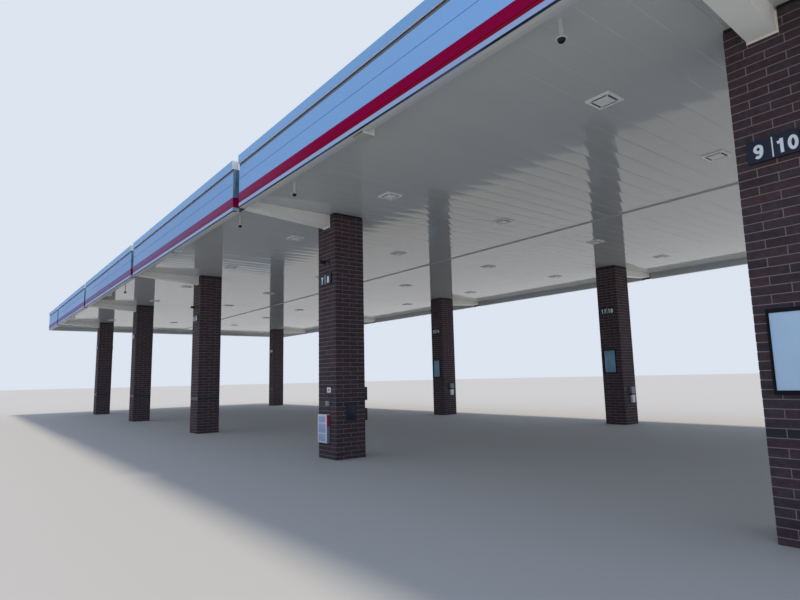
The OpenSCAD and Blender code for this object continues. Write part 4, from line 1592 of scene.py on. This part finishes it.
def dress_nodes() -> None:
    """Dress every CAD node that stays in view."""
    for node, finish in NODE_FINISHES.items():
        dress(node, finish)
    for side in SIDES:
        for part, finish in FASCIA_FINISHES.items():
            dress(f"{part}_{side}", finish)
    dress_lamp_slots()
    dress_returns()


# Studio


@dataclass
class Studio:
    """Floor, light and camera.

    Attributes:
        camera_at: Place of the camera.
        yaw: Turn of the view to the left of +Y, in radians.
        pitch: Rise of the view, in radians.
        roll: Roll of the camera, in radians.
        lens: Focal length, in millimetres.
        sensor: Width of the sensor, in millimetres.
        clip: Nearest and farthest distance in view.
        floor: Half of the floor's side.
        floor_paint: Colour and roughness of the floor.
        ambient: Strength of the light from all round.
        ambient_colour: Its colour.
        backdrop: Colour that the background shows.
        sun: Strength of the key light.
        sun_colour: Its colour.
        sun_from: Direction that the key light comes from.
        sun_size: Angle that the key light fills, in radians.
    """

    camera_at: tuple[float, float, float] = (10.681, -6.652, 0.902)
    yaw: float = 0.9098
    pitch: float = 0.1388
    roll: float = -0.0223
    lens: float = 25.39
    sensor: float = 36.0
    clip: tuple[float, float] = (0.05, 600.0)
    floor: float = 220.0
    floor_paint: tuple[str, float] = ("#bdbbb6", 0.9)
    ambient: float = 0.8
    ambient_colour: str = "#cddefc"
    backdrop: str = "#dce5f0"
    sun: float = 2.2
    sun_colour: str = "#fff2e0"
    sun_from: tuple[float, float, float] = (0.1, 0.24, 1.0)
    sun_size: float = 0.12

    def build_camera(self) -> None:
        """Aim the camera as the photograph was taken."""
        cy, sy = math.cos(self.yaw), math.sin(self.yaw)
        cp, sp = math.cos(self.pitch), math.sin(self.pitch)
        ahead = Vector((-sy * cp, cy * cp, sp))
        right = Vector((cy, sy, 0.0))
        up = right.cross(ahead)
        c, s = math.cos(self.roll), math.sin(self.roll)
        axes = Matrix((c * right + s * up, c * up - s * right, -ahead)).transposed()
        data = bpy.data.cameras.new("camera")
        data.sensor_width = self.sensor
        data.lens = self.lens
        data.clip_start, data.clip_end = self.clip
        camera = bpy.data.objects.new("camera", data)
        camera.matrix_world = Matrix.Translation(self.camera_at) @ axes.to_4x4()
        bpy.context.scene.collection.objects.link(camera)
        bpy.context.scene.camera = camera

    def build_floor(self) -> None:
        """Lay a plain pale floor."""
        mesh = bpy.data.meshes.new("floor")
        f = self.floor
        mesh.from_pydata([(-f, -f, 0), (f, -f, 0), (f, f, 0), (-f, f, 0)], [], [(0, 1, 2, 3)])
        floor = bpy.data.objects.new("floor", mesh)
        bpy.context.scene.collection.objects.link(floor)
        paint = bpy.data.materials.new("plain_studio_floor")
        paint.use_nodes = True
        shader = paint.node_tree.nodes["Principled BSDF"]
        shader.inputs["Base Color"].default_value = linear(self.floor_paint[0])
        shader.inputs["Roughness"].default_value = self.floor_paint[1]
        mesh.materials.append(paint)

    def build_light(self) -> None:
        """Light the scene from all round and with one soft key light from high behind."""
        world = bpy.data.worlds.new("studio")
        world.use_nodes = True
        bpy.context.scene.world = world
        tree = world.node_tree
        tree.nodes.clear()
        path = add_node(tree, "ShaderNodeLightPath").outputs
        seen = path["Is Camera Ray"]
        for ray in ("Is Glossy Ray", "Is Transmission Ray"):
            seen = add_node(tree, "ShaderNodeMath", {0: seen, 1: path[ray]}, operation="MAXIMUM").outputs[0]
        around = add_node(tree, "ShaderNodeBackground",
                          {"Color": linear(self.ambient_colour), "Strength": self.ambient})
        shown = add_node(tree, "ShaderNodeBackground", {"Color": linear(self.backdrop), "Strength": 1.0})
        both = add_node(tree, "ShaderNodeMixShader", {0: seen, 1: around.outputs[0], 2: shown.outputs[0]})
        add_node(tree, "ShaderNodeOutputWorld", {"Surface": both.outputs[0]})
        lamp = bpy.data.lights.new("key", "SUN")
        lamp.energy = self.sun
        lamp.angle = self.sun_size
        lamp.color = linear(self.sun_colour)[:3]
        key = bpy.data.objects.new("key", lamp)
        key.matrix_world = Vector(self.sun_from).to_track_quat("Z", "Y").to_matrix().to_4x4()
        bpy.context.scene.collection.objects.link(key)

    def build(self) -> None:
        """Build the studio and set the plain view transform."""
        self.build_camera()
        self.build_floor()
        self.build_light()
        bpy.context.scene.view_settings.view_transform = "Standard"


# The glazed course of the pier nearest to the camera is one lower than on the others
NEAREST_PIER = pier_node(Row.NEAR, 0)
NEAREST_GLAZED = 12


def main() -> None:
    logging.basicConfig(level=logging.INFO, format="%(name)s: %(message)s")
    Studio().build()
    for row, outward in ((Row.NEAR, -1), (Row.FAR, 1)):
        for number in range(1, PIERS_PER_ROW + 1):
            pier = BrickPier(f"pier_{row.value}_{number}", outward, seed=10 * number + outward)
            if pier.node == NEAREST_PIER:
                pier.glazed = NEAREST_GLAZED
            pier.build()
    RibbedDeck("deck_near", seed=3).build()
    RibbedDeck("deck_far", seed=4).build()
    for fitting in (NumberPlates(), PosterPanels(), NoticeCabinet(), TOWEL_BOXES, SLIM_BOX, SmallPlates(),
                    BulletCameras(), DomeCameras()):
        fitting.build()
    widen_collars()
    dress_nodes()


if __name__ == "__main__":
    main()
